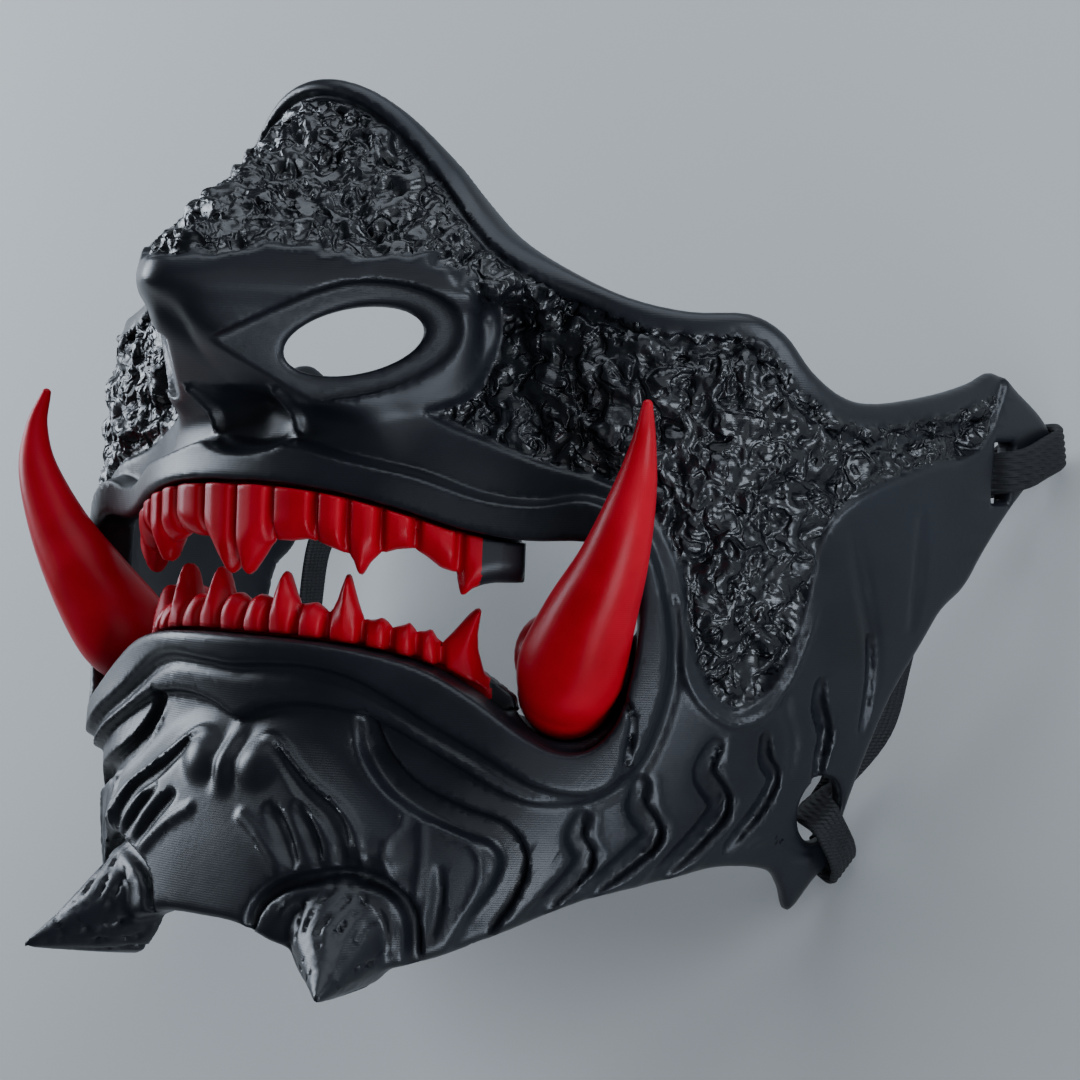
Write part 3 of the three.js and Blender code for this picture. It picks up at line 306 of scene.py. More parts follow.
carvings = {
    "lipHeight": 3.2, "lipStep": 1.2, "lowerLipHeight": 1.9, "lipGroove": (1.4, 0.6),
    "philtrum": {
        "halfWidth": 8.7, "depth": 2, "ridge": 1.1, "ridgeWidth": 1.6, "rise": 1.4, "lowest": 10, "top": 30,
    },
    "chinHeight": 2.2, "chinStep": 7, "chinKnob": (2.9, -27.8, 5, 1.5), "chinRidge": (2.6, 1.7, -27.5, 7),
    "hideDepth": 1.0, "hideStep": 0.9,
    "hideWaver": 2.4, "waverSize": 3.2, "waverFrom": 40, "waverFade": 6, "waverSeed": 21,
    "rimGroove": {
        "halfWidth": 1.3, "depth": 1.3, "atNose": 3, "atEar": 6.2, "widest": 60, "end": 75, "lowest": 20,
    },
    # flat-floored channels: depth, wall width, half width, how it tapers at its ends, line
    "channels": [
        (2.2, 0.9, 1.5, 3, [(29.5, -31.8), (28.7, -36), (29.4, -39.3), (28.4, -42.6), (24.6, -50)]),
        (2.3, 0.9, 1.7, 3, [(34.1, -26.6), (33.5, -31.4), (34.8, -35.8), (33, -39.4), (28, -47)]),
        (2.3, 0.9, 1.9, 3, [(40.4, -20.8), (39.1, -26.3), (40.8, -31.1), (39.6, -35), (34, -45)]),
        (1.9, 0.8, 1.2, 4, [(44.6, -20), (45, -24.6), (46.1, -27.7), (44.6, -32.8), (41.4, -39)]),
        (2.2, 0.8, 1.5, 3, [(50, -11.6), (50.1, -15.8), (51.4, -20.6), (51.3, -25), (51.4, -30)]),
        (1.2, 0.9, 1.1, 3, [(55.2, -5), (56.3, -13.6), (56.3, -21.4)]),
        (2.1, 1.0, 1.9, 9, [
            (11.4, -18.6), (12.6, -24.4), (14.8, -28.8), (17.3, -31.7), (20.3, -34), (23.1, -35.9),
            (24.2, -39.8), (23.4, -44.8), (21.8, -49.5), (19.6, -56),
        ]),
        (1.3, 1.1, 1.1, 3, [(4.9, -33.6), (6.6, -37), (8.6, -42.6)]),
        (1.3, 1.0, 0.9, 3, [(7.4, -32.8), (9.3, -37.4), (10.6, -42)]),
        (1.3, 1.0, 1.2, 3, [(4.6, -25.5), (7.8, -30.9), (10.4, -34.2), (11.8, -37.8), (12.1, -41.4)]),
        (2, 0.7, 1.0, 40, [
            (5.2, -52), (5.8, -48.4), (7.2, -45.7), (9.3, -44), (12, -43), (14.5, -43.7), (16.3, -46.3),
            (17.1, -50), (17.2, -56),
        ]),
        (0.8, 3, 1.2, 3, [(51.5, 12), (53.5, 2), (55.5, -6), (57.5, -14)]),
        (0.7, 3, 1.0, 3, [(60.5, 14), (61, 4), (61, -5)]),
        (0.7, 2.6, 1.0, 3, [(46.2, -12.5), (46.6, -17), (47.8, -22), (47.6, -29)]),
        (0.9, 0.9, 0.8, 3, [(18.9, -40.6), (18.9, -46), (18.4, -52.2)]),
    ],
    # thin raised lines: height, half width, line
    "threads": [
        (0.6, 0.7, [
            (7.6, -50), (8.3, -47.9), (9.8, -46), (12, -45), (14, -45.7), (15.3, -47.8),
            (15.8, -50.6), (15.8, -55),
        ]),
        (0.5, 0.7, [
            (10, -19), (11.3, -24.9), (13.6, -29.8), (16.2, -32.7), (19.6, -35.7), (21.3, -37.6),
            (22, -40.6), (21.5, -45), (19.8, -51),
        ]),
        (0.8, 0.9, [
            (2.4, -23.6), (4.4, -23.9), (6.9, -27.6), (9, -30.4), (11.4, -33.2), (12.9, -36.2),
            (13.5, -39.2), (13.7, -42),
        ]),
        (0.5, 0.9, [(15.7, -31.7), (16.1, -34.6), (15.2, -37.7), (15.6, -43), (17, -45)]),
        (0.4, 0.8, [(17.5, -34.1), (17.7, -39.3), (17.4, -46)]),
        (0.7, 1.4, [(2.2, -35), (4.2, -37.2), (6, -40.2), (7.6, -43.6)]),
        (0.5, 1.0, [(43.8, -38.9), (46.2, -37.3), (49.4, -40.6), (52.6, -41)]),
        (0.35, 0.7, [(30.6, -31), (30.5, -36), (31.3, -39), (30.2, -43), (27.4, -49)]),
        (0.35, 0.7, [(35.2, -26), (35.5, -31.4), (36.8, -35.2), (35.2, -39), (31, -46)]),
        (0.35, 0.7, [(41.6, -20), (41.3, -26.2), (42.9, -30.8), (42, -35), (37, -44)]),
        (0.9, 1.1, [
            (36.9, -5), (37.3, -11), (39, -16), (41.7, -18.9), (44.4, -17.6), (46.4, -13),
            (47.9, -6), (48.8, 1),
        ]),
    ],
}


def onSkin(points, steps=4, mirrored=True):
    p = np.array(points, float) * (skin["mmPerDegree"], 1)
    if mirrored:  # the line goes on past the middle of the face
        flip = np.array((-1, 1))
        p = np.concatenate([p[[2, 1]] * flip, p, p[[-2, -3]] * flip])
    return roundedLine(p, steps)


skinS = np.arange(skin["low"][0], skin["high"][0], skin["step"])
skinZ = np.arange(skin["low"][1], skin["high"][1], skin["step"])
gridS, gridZ = [g.astype(np.float32) for g in np.meshgrid(skinS, skinZ, indexing="ij")]


def lineDistance(line, withAlong=False):
    best = np.full(gridS.shape, 1e9, np.float32)
    along = np.zeros(gridS.shape, np.float32)
    for i, ((ax, az), (bx, bz)) in enumerate(zip(line[:-1], line[1:])):
        dx, dz = bx - ax, bz - az
        t = np.clip(((gridS - ax) * dx + (gridZ - az) * dz) / max(dx * dx + dz * dz, 1e-9), 0, 1)
        gapS, gapZ = gridS - ax - t * dx, gridZ - az - t * dz
        gap = gapS * gapS + gapZ * gapZ
        closer = gap < best
        best = np.where(closer, gap, best)
        if withAlong:
            along = np.where(closer, (i + t) / (len(line) - 1), along)
    return (np.sqrt(best), along) if withAlong else np.sqrt(best)


def insideLine(line):
    inside = np.zeros(gridS.shape, bool)
    closed = np.concatenate([line, line[:1]])
    for (ax, az), (bx, bz) in zip(closed[:-1], closed[1:]):
        if az != bz:
            span = (az > gridZ) != (bz > gridZ)
            inside ^= span & (gridS < ax + (gridZ - az) / (bz - az) * (bx - ax))
    distance = lineDistance(line)
    return np.where(inside, -distance, distance)


def skinPlace(x, y):
    return np.degrees(np.arctan2(np.abs(x), skin["axisY"] - y)) * skin["mmPerDegree"]


def readSkin(field, s, z):
    u = np.clip((s - skinS[0]) / skin["step"], 0, len(skinS) - 1.001)
    v = np.clip((z - skinZ[0]) / skin["step"], 0, len(skinZ) - 1.001)
    i, j = u.astype(int), v.astype(int)
    a, b = u - i, v - j
    lower = field[i, j] * (1 - a) + field[i + 1, j] * a
    upper = field[i, j + 1] * (1 - a) + field[i + 1, j + 1] * a
    return lower * (1 - b) + upper * b


lines = {name: onSkin(skin[name]) for name in ("edge", "mouth", "lip", "lowerLip", "chin", "hide")}
fields = {name: insideLine(line) for name, line in lines.items()}


def waveredHide():
    # the hide hangs over the band of the nose in uneven folds
    place = np.stack([gridS.ravel(), gridZ.ravel(), 0 * gridZ.ravel()], 1)
    waver = noise(place, carvings["waverSize"], carvings["waverSeed"]).reshape(gridS.shape)
    share = smoothStep((gridZ - carvings["waverFrom"]) / carvings["waverFade"])
    return fields["hide"] + carvings["hideWaver"] * waver * share


fields["hide"] = waveredHide()


def carvedSkin():
    c = carvings
    perDegree = skin["mmPerDegree"]
    height = c["chinHeight"] * smoothStep(-fields["chin"] / c["chinStep"])
    p = c["philtrum"]
    scoop = p["depth"] * ridge(gridS, p["halfWidth"])
    scoop -= p["ridge"] * ridge(np.abs(gridS - p["halfWidth"]), p["ridgeWidth"])
    within = smoothStep(np.minimum(fields["lip"], p["top"] - gridZ) / p["rise"]) * (gridZ > p["lowest"])
    height -= scoop * within
    angle, z, radius, rise = c["chinKnob"]
    height += rise * ridge(np.hypot(gridS - angle * perDegree, gridZ - z), radius)
    halfWidth, rise, z, halfLength = c["chinRidge"]
    height += rise * ridge(gridS, halfWidth) * ridge(gridZ - z, halfLength)
    lower, lip = fields["lowerLip"], fields["lip"]
    height += c["lowerLipHeight"] * smoothStep(-lower / c["lipStep"])
    lipRise = c["lipHeight"] - np.where(lower < 0, c["lowerLipHeight"], 0)
    height += lipRise * smoothStep(-lip / c["lipStep"])
    halfWidth, depth = c["lipGroove"]
    height -= np.where(gridZ < 0, depth * ridge(lip - halfWidth / 2, halfWidth), 0)
    height -= c["hideDepth"] * smoothStep(-fields["hide"] / c["hideStep"])
    r = c["rimGroove"]
    width = r["atNose"] + (r["atEar"] - r["atNose"]) * smoothStep(gridS / perDegree / r["widest"])
    end = smoothStep((r["end"] * perDegree - gridS) / (2 * width))
    groove = r["depth"] * ridge(-fields["edge"] - width, r["halfWidth"]) * end
    height -= np.where(gridZ > r["lowest"], groove, 0)
    for depth, wallWidth, halfWidth, endTaper, path in c["channels"]:
        distance, along = lineDistance(onSkin(path, 6, False), True)
        taper = np.sqrt(np.clip(np.minimum(along, 1 - along) * endTaper, 0, 1))
        reach = halfWidth * (0.35 + 0.65 * taper) + wallWidth / 2
        height -= depth * taper * smoothStep((reach - distance) / wallWidth)
    for rise, halfWidth, path in c["threads"]:
        distance, along = lineDistance(onSkin(path, 6, False), True)
        height += rise * ridge(distance, halfWidth) * smoothStep(np.minimum(along, 1 - along) * 8)
    return height


carved = carvedSkin()
report("skin drawn")


# horns, tusks, holes

horn = {
    "line": [
        (20, -77, -50.4, 10.6), (23.8, -84, -53.6, 7.2), (28.2, -91, -56.9, 3.4), (31.8, -97, -59.2, 0.5),
    ],
    "fillet": 0.8, "creases": 6, "creaseDepth": 1.1, "sharpness": 2.6,
    "wander": 3, "wanderSize": 8, "patchSize": 6, "seed": 31, "smoothTip": 2, "tipFade": 5,
}
# centres and radii from root to tip
tusk = {
    "line": [
        (46.6, -60.6, -14.6, 7.4), (49.6, -63.2, -10.6, 8.1), (54.6, -65.8, -3.4, 7),
        (60.4, -67.8, 5.4, 5.2), (64.8, -69.2, 15.2, 3.4), (66, -68.8, 22.6, 1.9), (65.4, -67.4, 28.4, 0.8),
    ],
    "socketWall": 3.4, "setBack": 2, "cupRise": 0.8,
    "sides": 48, "steps": 16, "capRings": 7, "facing": (0.2, -1.0, 0.1),
    "lobe": (39.5, -55.5, -10, 6), "lobeHeight": 1.15, "lobeSides": 32, "lobeRings": 16,
}
earSlot = {"angle": 74.6, "z": 20.4, "halfWidth": 3.5, "halfHeight": 4.9}
jawHole = {"angle": 52.4, "z": -33.2, "radius": 5.5}


def throughPoints(points, steps=3):
    rows = [(i, *p) for i, p in enumerate(points)]
    at = throughTable(rows)
    return np.stack(at(np.linspace(0, len(points) - 1, (len(points) - 1) * steps + 1)), 1)


def taperedDistance(line, x, y, z):
    best = np.full(np.shape(x), 1e9)
    for a, b in zip(line[:-1], line[1:]):
        d = b[:3] - a[:3]
        t = np.clip(((x - a[0]) * d[0] + (y - a[1]) * d[1] + (z - a[2]) * d[2]) / d.dot(d), 0, 1)
        gap = np.sqrt((x - a[0] - t * d[0]) ** 2 + (y - a[1] - t * d[1]) ** 2 + (z - a[2] - t * d[2]) ** 2)
        best = np.minimum(best, gap - a[3] - t * (b[3] - a[3]))
    return best


hornLine = throughPoints(horn["line"], 10)
tuskLine = throughPoints(tusk["line"])


def hornDistance(x, y, z):
    base, tip = np.array(horn["line"][0][:3]), np.array(horn["line"][-1][:3])
    along = (tip - base) / np.linalg.norm(tip - base)
    side = np.cross(along, (0, 0, 1))
    side /= np.linalg.norm(side)
    over = np.cross(side, along)
    points = np.stack([x, y, z], 1)
    fromBase = points - base
    turn = np.arctan2(fromBase @ over, fromBase @ side)
    wander = horn["wander"] * noise(points, horn["wanderSize"], horn["seed"])
    wave = np.sin(horn["creases"] * turn + wander)
    crease = np.clip(1 - horn["sharpness"] * np.abs(wave), 0, 1)
    crease *= smoothStep(noise(points, horn["patchSize"], horn["seed"] + 2) * 2 + 1)
    toTip = np.linalg.norm(points - tip, axis=1)
    crease *= smoothStep((toTip - horn["smoothTip"]) / horn["tipFade"])
    return taperedDistance(hornLine, x, y, z) + horn["creaseDepth"] * crease


def shellDistance(points):
    x, y, z = points.T
    x = np.abs(x)
    form = formDistance(x, y, z)
    s = skinPlace(x, y)
    wall, gap, inner, rounding = face["wall"], face["pieceGap"], face["innerRounding"], face["edgeRounding"]
    outer = form - np.where(form > -wall, readSkin(carved, s, z), 0)
    toTusk = np.full(len(x), 99.0)
    near = (x > 30) & (z < 45) & (z > -35)
    toTusk[near] = taperedDistance(tuskLine, x[near], y[near], z[near])
    solid = smoothMax(outer, readSkin(fields["edge"], s, z), rounding)
    solid = smoothMax(solid, -readSkin(fields["mouth"], s, z), face["lipRounding"])
    low = z < -30
    solid[low] = smoothMin(solid[low], hornDistance(x[low], y[low], z[low]), horn["fillet"])
    solid = smoothMax(solid, -(form + wall), inner)
    cup = smoothMax(toTusk - gap - tusk["socketWall"], form + tusk["setBack"], rounding)
    top = z - tusk["line"][1][2] - tusk["cupRise"] * (x - tusk["line"][1][0])
    solid = smoothMin(solid, smoothMax(cup, top, rounding), inner)
    solid = smoothMin(solid, nostrilCupDistance(x, y, z, form), inner)
    solid = smoothMax(solid, -recessDistance(x, y, z), nostril["stepRounding"])
    solid = smoothMax(solid, -nostrilDistance(x, y, z), inner)
    solid = smoothMax(solid, -(toTusk - gap), inner)
    perDegree = skin["mmPerDegree"]
    across = np.abs(s - earSlot["angle"] * perDegree) - earSlot["halfWidth"]
    slot = np.maximum(across, np.abs(z - earSlot["z"]) - earSlot["halfHeight"])
    hole = np.hypot(s - jawHole["angle"] * perDegree, z - jawHole["z"]) - jawHole["radius"]
    return smoothMax(solid, -np.minimum(slot, hole), inner)


# a mesh from a distance field


def inParts(field, points, size=200000):
    return np.concatenate([field(points[i : i + size]) for i in range(0, len(points), size)])


def places3d(*counts):
    return np.stack(np.meshgrid(*[np.arange(n) for n in counts], indexing="ij"), -1).reshape(-1, 3)


def surfaceNet(field, low, high, step, block=5):
    # coarse blocks first, then every node of the blocks near the surface
    low = np.array(low, float)
    blocks = np.ceil((np.array(high) - low) / (step * block)).astype(int)
    counts = blocks * block
    rough = inParts(field, low + (places3d(*blocks) + 0.5) * block * step).reshape(blocks)
    values = rough.astype(np.float32)
    for axis in range(3):
        values = np.repeat(values, block, axis)
    close = np.argwhere(np.abs(rough) < block * step * 1.3)
    inBlock = places3d(block, block, block)
    nodes = (close[:, None, :] * block + inBlock).reshape(-1, 3)
    values[tuple(nodes.T)] = inParts(field, low + nodes * step)
    inside = values < 0
    strides = np.array([counts[1] * counts[2], counts[2], 1])
    cells, places, quads = [], [], []
    for axis in range(3):
        cut = [slice(None)] * 3
        cut[axis] = slice(0, -1)
        past = [slice(None)] * 3
        past[axis] = slice(1, None)
        edges = np.argwhere(inside[tuple(cut)] != inside[tuple(past)])
        b, c = (axis + 1) % 3, (axis + 2) % 3
        edges = edges[(edges[:, b] > 0) & (edges[:, c] > 0)]
        a0 = values[tuple(edges.T)]
        ahead = edges.copy()
        ahead[:, axis] += 1
        t = a0 / (a0 - values[tuple(ahead.T)])
        spot = edges.astype(float)
        spot[:, axis] += t
        index = edges @ strides
        ring = np.stack([index, index - strides[b], index - strides[b] - strides[c], index - strides[c]], 1)
        flip = a0 > 0
        ring[flip] = ring[flip][:, ::-1]
        quads.append(ring)
        for k in range(4):
            cells.append(ring[:, k])
            places.append(spot)
    quads = np.concatenate(quads)
    cells, places = np.concatenate(cells), np.concatenate(places)
    used, where = np.unique(cells, return_inverse=True)
    share = np.bincount(where)
    points = np.stack([np.bincount(where, places[:, k]) / share for k in range(3)], 1)
    faces = np.searchsorted(used, quads)
    points = low + points * step
    for _ in range(2):
        slope, value = slopes(field, points)
        move = value / np.maximum((slope**2).sum(1), 0.3)
        points -= slope * np.clip(move, -step / 2, step / 2)[:, None]
    return points, faces


def slopes(field, points, reach=0.06):
    value = inParts(field, points)
    slope = np.empty_like(points)
    for k in range(3):
        shift = np.zeros(3)
        shift[k] = reach
        slope[:, k] = (inParts(field, points + shift) - value) / reach
    return slope, value


def meshObject(name, points, faces, materials, faceMaterial=None):
    mesh = bpy.data.meshes.new(name)
    mesh.from_pydata(np.asarray(points).tolist(), [], faces)
    for material in materials:
        mesh.materials.append(material)
    if faceMaterial is not None:
        mesh.polygons.foreach_set("material_index", np.asarray(faceMaterial, np.int32))
    mesh.shade_smooth()
    obj = bpy.data.objects.new(name, mesh)
    bpy.context.scene.collection.objects.link(obj)
    return obj


def placed(obj, cadNode):
    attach(obj, "root")
    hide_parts(cadNode)
    return obj


def unit(vectors):
    return vectors / np.linalg.norm(vectors, axis=1)[:, None]


def tubeFaces(rings, sides):
    i, j = np.meshgrid(np.arange(rings - 1), np.arange(sides), indexing="ij")
    a, b = (i * sides + j).ravel(), (i * sides + (j + 1) % sides).ravel()
    return np.stack([a, b, b + sides, a + sides], 1)


def sidePiece(kind, side, points, faces, material):
    # on the wearer's left (1), or mirrored on the right (-1)
    if side < 0:
        faces = [face[::-1] for face in faces]
    word = "Left" if side > 0 else "Right"
    obj = meshObject(kind + word, layDown(points * (side, 1, 1)), faces, [material])
    return placed(obj, f"{kind}_{word.lower()}")


# materials


def feed(tree, value, socket):
    if isinstance(value, bpy.types.NodeSocket):
        tree.links.new(value, socket)
    else:
        socket.default_value = value


def node(tree, kind, inputs=None, **settings):
    n = tree.nodes.new("ShaderNode" + kind)
    for key, value in settings.items():
        setattr(n, key, value)
    for key, value in (inputs or {}).items():
        feed(tree, value, n.inputs[key])
    return n


def calc(tree, operation, *inputs):
    return node(tree, "Math", dict(enumerate(inputs)), operation=operation).outputs["Value"]


def objectPlace(tree):
    return node(tree, "TexCoord").outputs["Object"]


def groupTree(name, inputs, outputs):
    tree = bpy.data.node_groups.new(name, "ShaderNodeTree")
    for label, value in inputs.items():
        socket = tree.interface.new_socket(name=label, in_out="INPUT", socket_type="NodeSocketFloat")
        socket.default_value = value
    for label in outputs:
        tree.interface.new_socket(name=label, in_out="OUTPUT", socket_type="NodeSocketFloat")
    return tree, tree.nodes.new("NodeGroupInput").outputs, tree.nodes.new("NodeGroupOutput").inputs


def makeLayerLines():
    # fine steps of the print, level with the upright face
    tree, given, out = groupTree("layerLines", {"Spacing": 0.0003, "Waver": 0.35}, ["Height"])
    place = objectPlace(tree)
    upright = node(tree, "VectorMath", {0: place, 1: layDirection((0, 0, 1))}, operation="DOT_PRODUCT")
    count = calc(tree, "DIVIDE", upright.outputs["Value"], given["Spacing"])
    stray = node(tree, "TexNoise", {"Vector": place, "Scale": 90})
    shift = calc(tree, "MULTIPLY_ADD", stray.outputs["Fac"], given["Waver"], count)
    feed(tree, calc(tree, "SINE", calc(tree, "MULTIPLY", shift, 2 * math.pi)), out["Height"])
    return tree


def makeBrushedPatches():
    # patches that a brush or a cloth has left duller or glossier
    inputs = {"Scale": 60, "Low": 0.3, "High": 0.5}
    tree, given, out = groupTree("brushedPatches", inputs, ["Roughness", "Mask"])
    patch = node(tree, "TexNoise", {"Vector": objectPlace(tree), "Scale": given["Scale"], "Detail": 5})
    mask = patch.outputs["Fac"]
    spread = node(tree, "MapRange", {
        "Value": mask, "From Min": 0.35, "From Max": 0.65, "To Min": given["Low"], "To Max": given["High"],
    })
    feed(tree, spread.outputs["Result"], out["Roughness"])
    feed(tree, mask, out["Mask"])
    return tree


def makeHideGrain():
    # glossy creases and pits between small lumps
    tree, given, out = groupTree("hideGrain", {"Scale": 420, "Warp": 0.002}, ["Height"])
    place = objectPlace(tree)
    stray = node(tree, "TexNoise", {"Vector": place, "Scale": 260, "Detail": 2}).outputs["Color"]
    reach = node(tree, "CombineXYZ", {axis: given["Warp"] for axis in "XYZ"}).outputs["Vector"]
    moved = node(tree, "VectorMath", {0: stray, 1: reach, 2: place}, operation="MULTIPLY_ADD")
    lumps = node(tree, "TexNoise", {
        "Vector": moved.outputs["Vector"], "Scale": given["Scale"], "Detail": 1, "Distortion": 1,
    })
    height = lumps.outputs["Fac"]
    fold = calc(tree, "ABSOLUTE", calc(tree, "SUBTRACT", height, 0.5))
    feed(tree, calc(tree, "MULTIPLY_ADD", fold, -1.2, height), out["Height"])
    return tree


layerLines = makeLayerLines()
brushedPatches = makeBrushedPatches()
hideGrain = makeHideGrain()


def placeGroup(tree, group, **values):
    return node(tree, "Group", values, node_tree=group).outputs


def bump(tree, height, distance, normal=None):
    inputs = {"Height": height, "Distance": distance, "Strength": 1}
    if normal is not None:
        inputs["Normal"] = normal
    return node(tree, "Bump", inputs).outputs["Normal"]


def plastic(name, look):
    material = bpy.data.materials.new(name)
    material.use_nodes = True
    tree = material.node_tree
    low, high = look["roughness"]
    patches = placeGroup(tree, brushedPatches, Scale=look["patchScale"], Low=low, High=high)
    tint = node(tree, "ValToRGB", {"Fac": patches["Mask"]})
    for element, position, key in zip(tint.color_ramp.elements, (0.3, 0.7), ("dark", "light")):
        element.position = position
        element.color = (*look[key], 1)
    normal = None
    if "creaseDepth" in look:
        creases = placeGroup(tree, hideGrain, Scale=look["creaseScale"], Warp=look["creaseWarp"])
        normal = bump(tree, creases["Height"], look["creaseDepth"])
    steps = placeGroup(tree, layerLines, Spacing=look["layer"], Waver=look["waver"])
    normal = bump(tree, steps["Height"], look["layerDepth"], normal)
    grain = node(tree, "TexNoise", {"Vector": objectPlace(tree), "Scale": look["grainScale"], "Detail": 4})
    normal = bump(tree, grain.outputs["Fac"], look["grainDepth"], normal)
    wanted = {
        "IOR": look["ior"], "Specular IOR Level": look["specular"], "Roughness": patches["Roughness"],
        "Base Color": tint.outputs["Color"], "Normal": normal,
    }
    for label, value in wanted.items():
        feed(tree, value, tree.nodes["Principled BSDF"].inputs[label])
    return material


blackLook = {
    "dark": (0.0055, 0.0064, 0.0090), "light": (0.0085, 0.0100, 0.0140), "roughness": (0.32, 0.42),
    "patchScale": 70, "ior": 1.42, "specular": 0.45,
    "layer": 0.00035, "waver": 0.2, "layerDepth": 0.000003, "grainScale": 900, "grainDepth": 0.00002,
}
hideLook = {
    "dark": (0.004, 0.0045, 0.006), "light": (0.007, 0.008, 0.0105), "roughness": (0.22, 0.32),
    "patchScale": 120, "ior": 1.5, "specular": 0.5,
    "layer": 0.00035, "waver": 0.2, "layerDepth": 0.000002, "grainScale": 700, "grainDepth": 0.00006,
    "creaseScale": 310, "creaseWarp": 0.002, "creaseDepth": 0.0013,
}
redLook = {
    "dark": (0.30, 0.001, 0.008), "light": (0.42, 0.002, 0.014), "roughness": (0.28, 0.38),
    "patchScale": 90, "ior": 1.38, "specular": 0.2,
    "layer": 0.0003, "waver": 0.3, "layerDepth": 0.000003, "grainScale": 800, "grainDepth": 0.00002,
}
elasticLook = {
    "dark": (0.006, 0.006, 0.007), "light": (0.012, 0.012, 0.014), "roughness": (0.62, 0.8),
    "patchScale": 300, "ior": 1.4, "specular": 0.4,
    "layer": 0.0006, "waver": 0.1, "layerDepth": 0.00006, "grainScale": 2500, "grainDepth": 0.00006,
}
satinBlack = plastic("satinBlackPrint", blackLook)
hideBlack = plastic("hideBlackPrint", hideLook)
toothRed = plastic("satinRedPrint", redLook)
strapElastic = plastic("blackElastic", elasticLook)
report("materials")


# the black shell

shell = {
    "step": 0.75,
    "triangles": 197000,
    "low": (-84, -112, -66), "high": (84, 30, 84),
}
hide = {
    "warpSize": 4, "warp": 1.6, "seed": 7,
    "lump": 5, "lumpHeight": 1.9,
    "fold": 2.9, "foldHeight": 1.6, "foldLevel": 0.45, "foldSlope": 1.6, "foldSoftness": 0.06,
    "edgeFade": 1.6, "edgeInset": 0.4, "fromRim": 3.2,
}


def isOutside(points):
    return formDistance(points[:, 0], points[:, 1], points[:, 2]) > -face["wall"] / 2


def makeShell():
    points, faces = surfaceNet(shellDistance, shell["low"], shell["high"], shell["step"])
    report(f"shell net, {len(faces)} faces")
    s = skinPlace(points[:, 0], points[:, 1])
    z = points[:, 2]
    outside = isOutside(points)
    inHide = smoothStep(-(readSkin(fields["hide"], s, z) + hide["edgeInset"]) / hide["edgeFade"]) * outside
    inHide *= smoothStep(-readSkin(fields["edge"], s, z) - hide["fromRim"])
    inHide *= smoothStep(nostrilDistance(*points.T) / 2 - 1)
    at = np.flatnonzero(inHide > 0.01)
    slope = slopes(shellDistance, points[at])[0]
    slope /= np.linalg.norm(slope, axis=1)[:, None]
    points[at] += slope * (hideHeight(points[at]) * inHide[at])[:, None]
    zone = (inHide[faces].mean(1) > 0.3).astype(int)
    obj = meshObject("maskShell", layDown(points), faces.tolist(), [satinBlack, hideBlack], zone)
    thinned(obj, shell["triangles"])
    return placed(obj, "mask_shell")


def thinned(obj, triangles):
    # fewer triangles where the shell is flat
    modifier = obj.modifiers.new("thinned", "DECIMATE")
    modifier.ratio = triangles / (2 * len(obj.data.polygons))
    result = obj.evaluated_get(bpy.context.evaluated_depsgraph_get())
    fullMesh = obj.data
    obj.data = bpy.data.meshes.new_from_object(result)
    obj.modifiers.clear()
    bpy.data.meshes.remove(fullMesh)
    obj.data.name = obj.name


def hideHeight(points):
    warp = np.stack([noise(points, hide["warpSize"], hide["seed"] + k) for k in range(3)], 1)
    p = points + warp * hide["warp"]
    lumps = noise(p, hide["lump"], hide["seed"] + 5)
    folds = np.hypot(noise(p, hide["fold"], hide["seed"] + 9), hide["foldSoftness"])
    folds = hide["foldLevel"] - hide["foldSlope"] * folds
    return hide["lumpHeight"] * lumps + hide["foldHeight"] * folds


# tusks


def tuskBody():
    line = throughPoints(tusk["line"], tusk["steps"])
    centre, radius = line[:, :3], line[:, 3]
    along = unit(np.gradient(centre, axis=0))
    u = unit(np.cross(along, tusk["facing"]))
    v = np.cross(u, along)
    cap = (np.arange(tusk["capRings"]) + 0.5) / tusk["capRings"] * math.pi / 2
    at = np.concatenate([0 * cap, np.arange(len(line)), 0 * cap - 1]).astype(int)
    bulge = np.concatenate([-cap[::-1], np.zeros(len(line)), cap])  # both ends are round
    middle = centre[at] + along[at] * (radius[at] * np.sin(bulge))[:, None]
    turn = (np.arange(tusk["sides"]) / tusk["sides"] * 2 * math.pi)[:, None]
    ring = np.cos(turn) * u[at][:, None] + np.sin(turn) * v[at][:, None]
    rings = middle[:, None] + (radius[at] * np.cos(bulge))[:, None, None] * ring
    poles = [centre[0] - along[0] * radius[0], centre[-1] + along[-1] * radius[-1]]
    n, pole, last = tusk["sides"], rings.size // 3, (len(rings) - 1) * tusk["sides"]
    faces = tubeFaces(len(rings), n).tolist()
    faces += [(pole, (j + 1) % n, j) for j in range(n)]
    faces += [(pole + 1, last + j, last + (j + 1) % n) for j in range(n)]
    return np.concatenate([rings.reshape(-1, 3), poles]), faces


def lobe():
    # round root of the tusk, towards the mouth
    x, y, z, radius = tusk["lobe"]
    rings, sides = tusk["lobeRings"], tusk["lobeSides"]
    tilt = math.pi * (np.arange(rings)[:, None] + 0.5) / rings
    turn = 2 * math.pi * np.arange(sides)[None] / sides
    across, up = np.sin(tilt), np.cos(tilt) * tusk["lobeHeight"]
    points = np.stack([across * np.cos(turn), across * np.sin(turn), up + 0 * turn], -1)
    ends = np.arange(sides), (rings * sides - 1) - np.arange(sides)
    faces = tubeFaces(rings, sides)[:, [0, 3, 2, 1]].tolist() + [end.tolist() for end in ends]
    return points.reshape(-1, 3) * radius + (x, y, z), faces


def makeTusk(side):
    points, faces = tuskBody()
    lobePoints, lobeFaces = lobe()
    faces += [[len(points) + corner for corner in face] for face in lobeFaces]
    sidePiece("tusk", side, np.concatenate([points, lobePoints]), faces, toothRed)


# rows of teeth

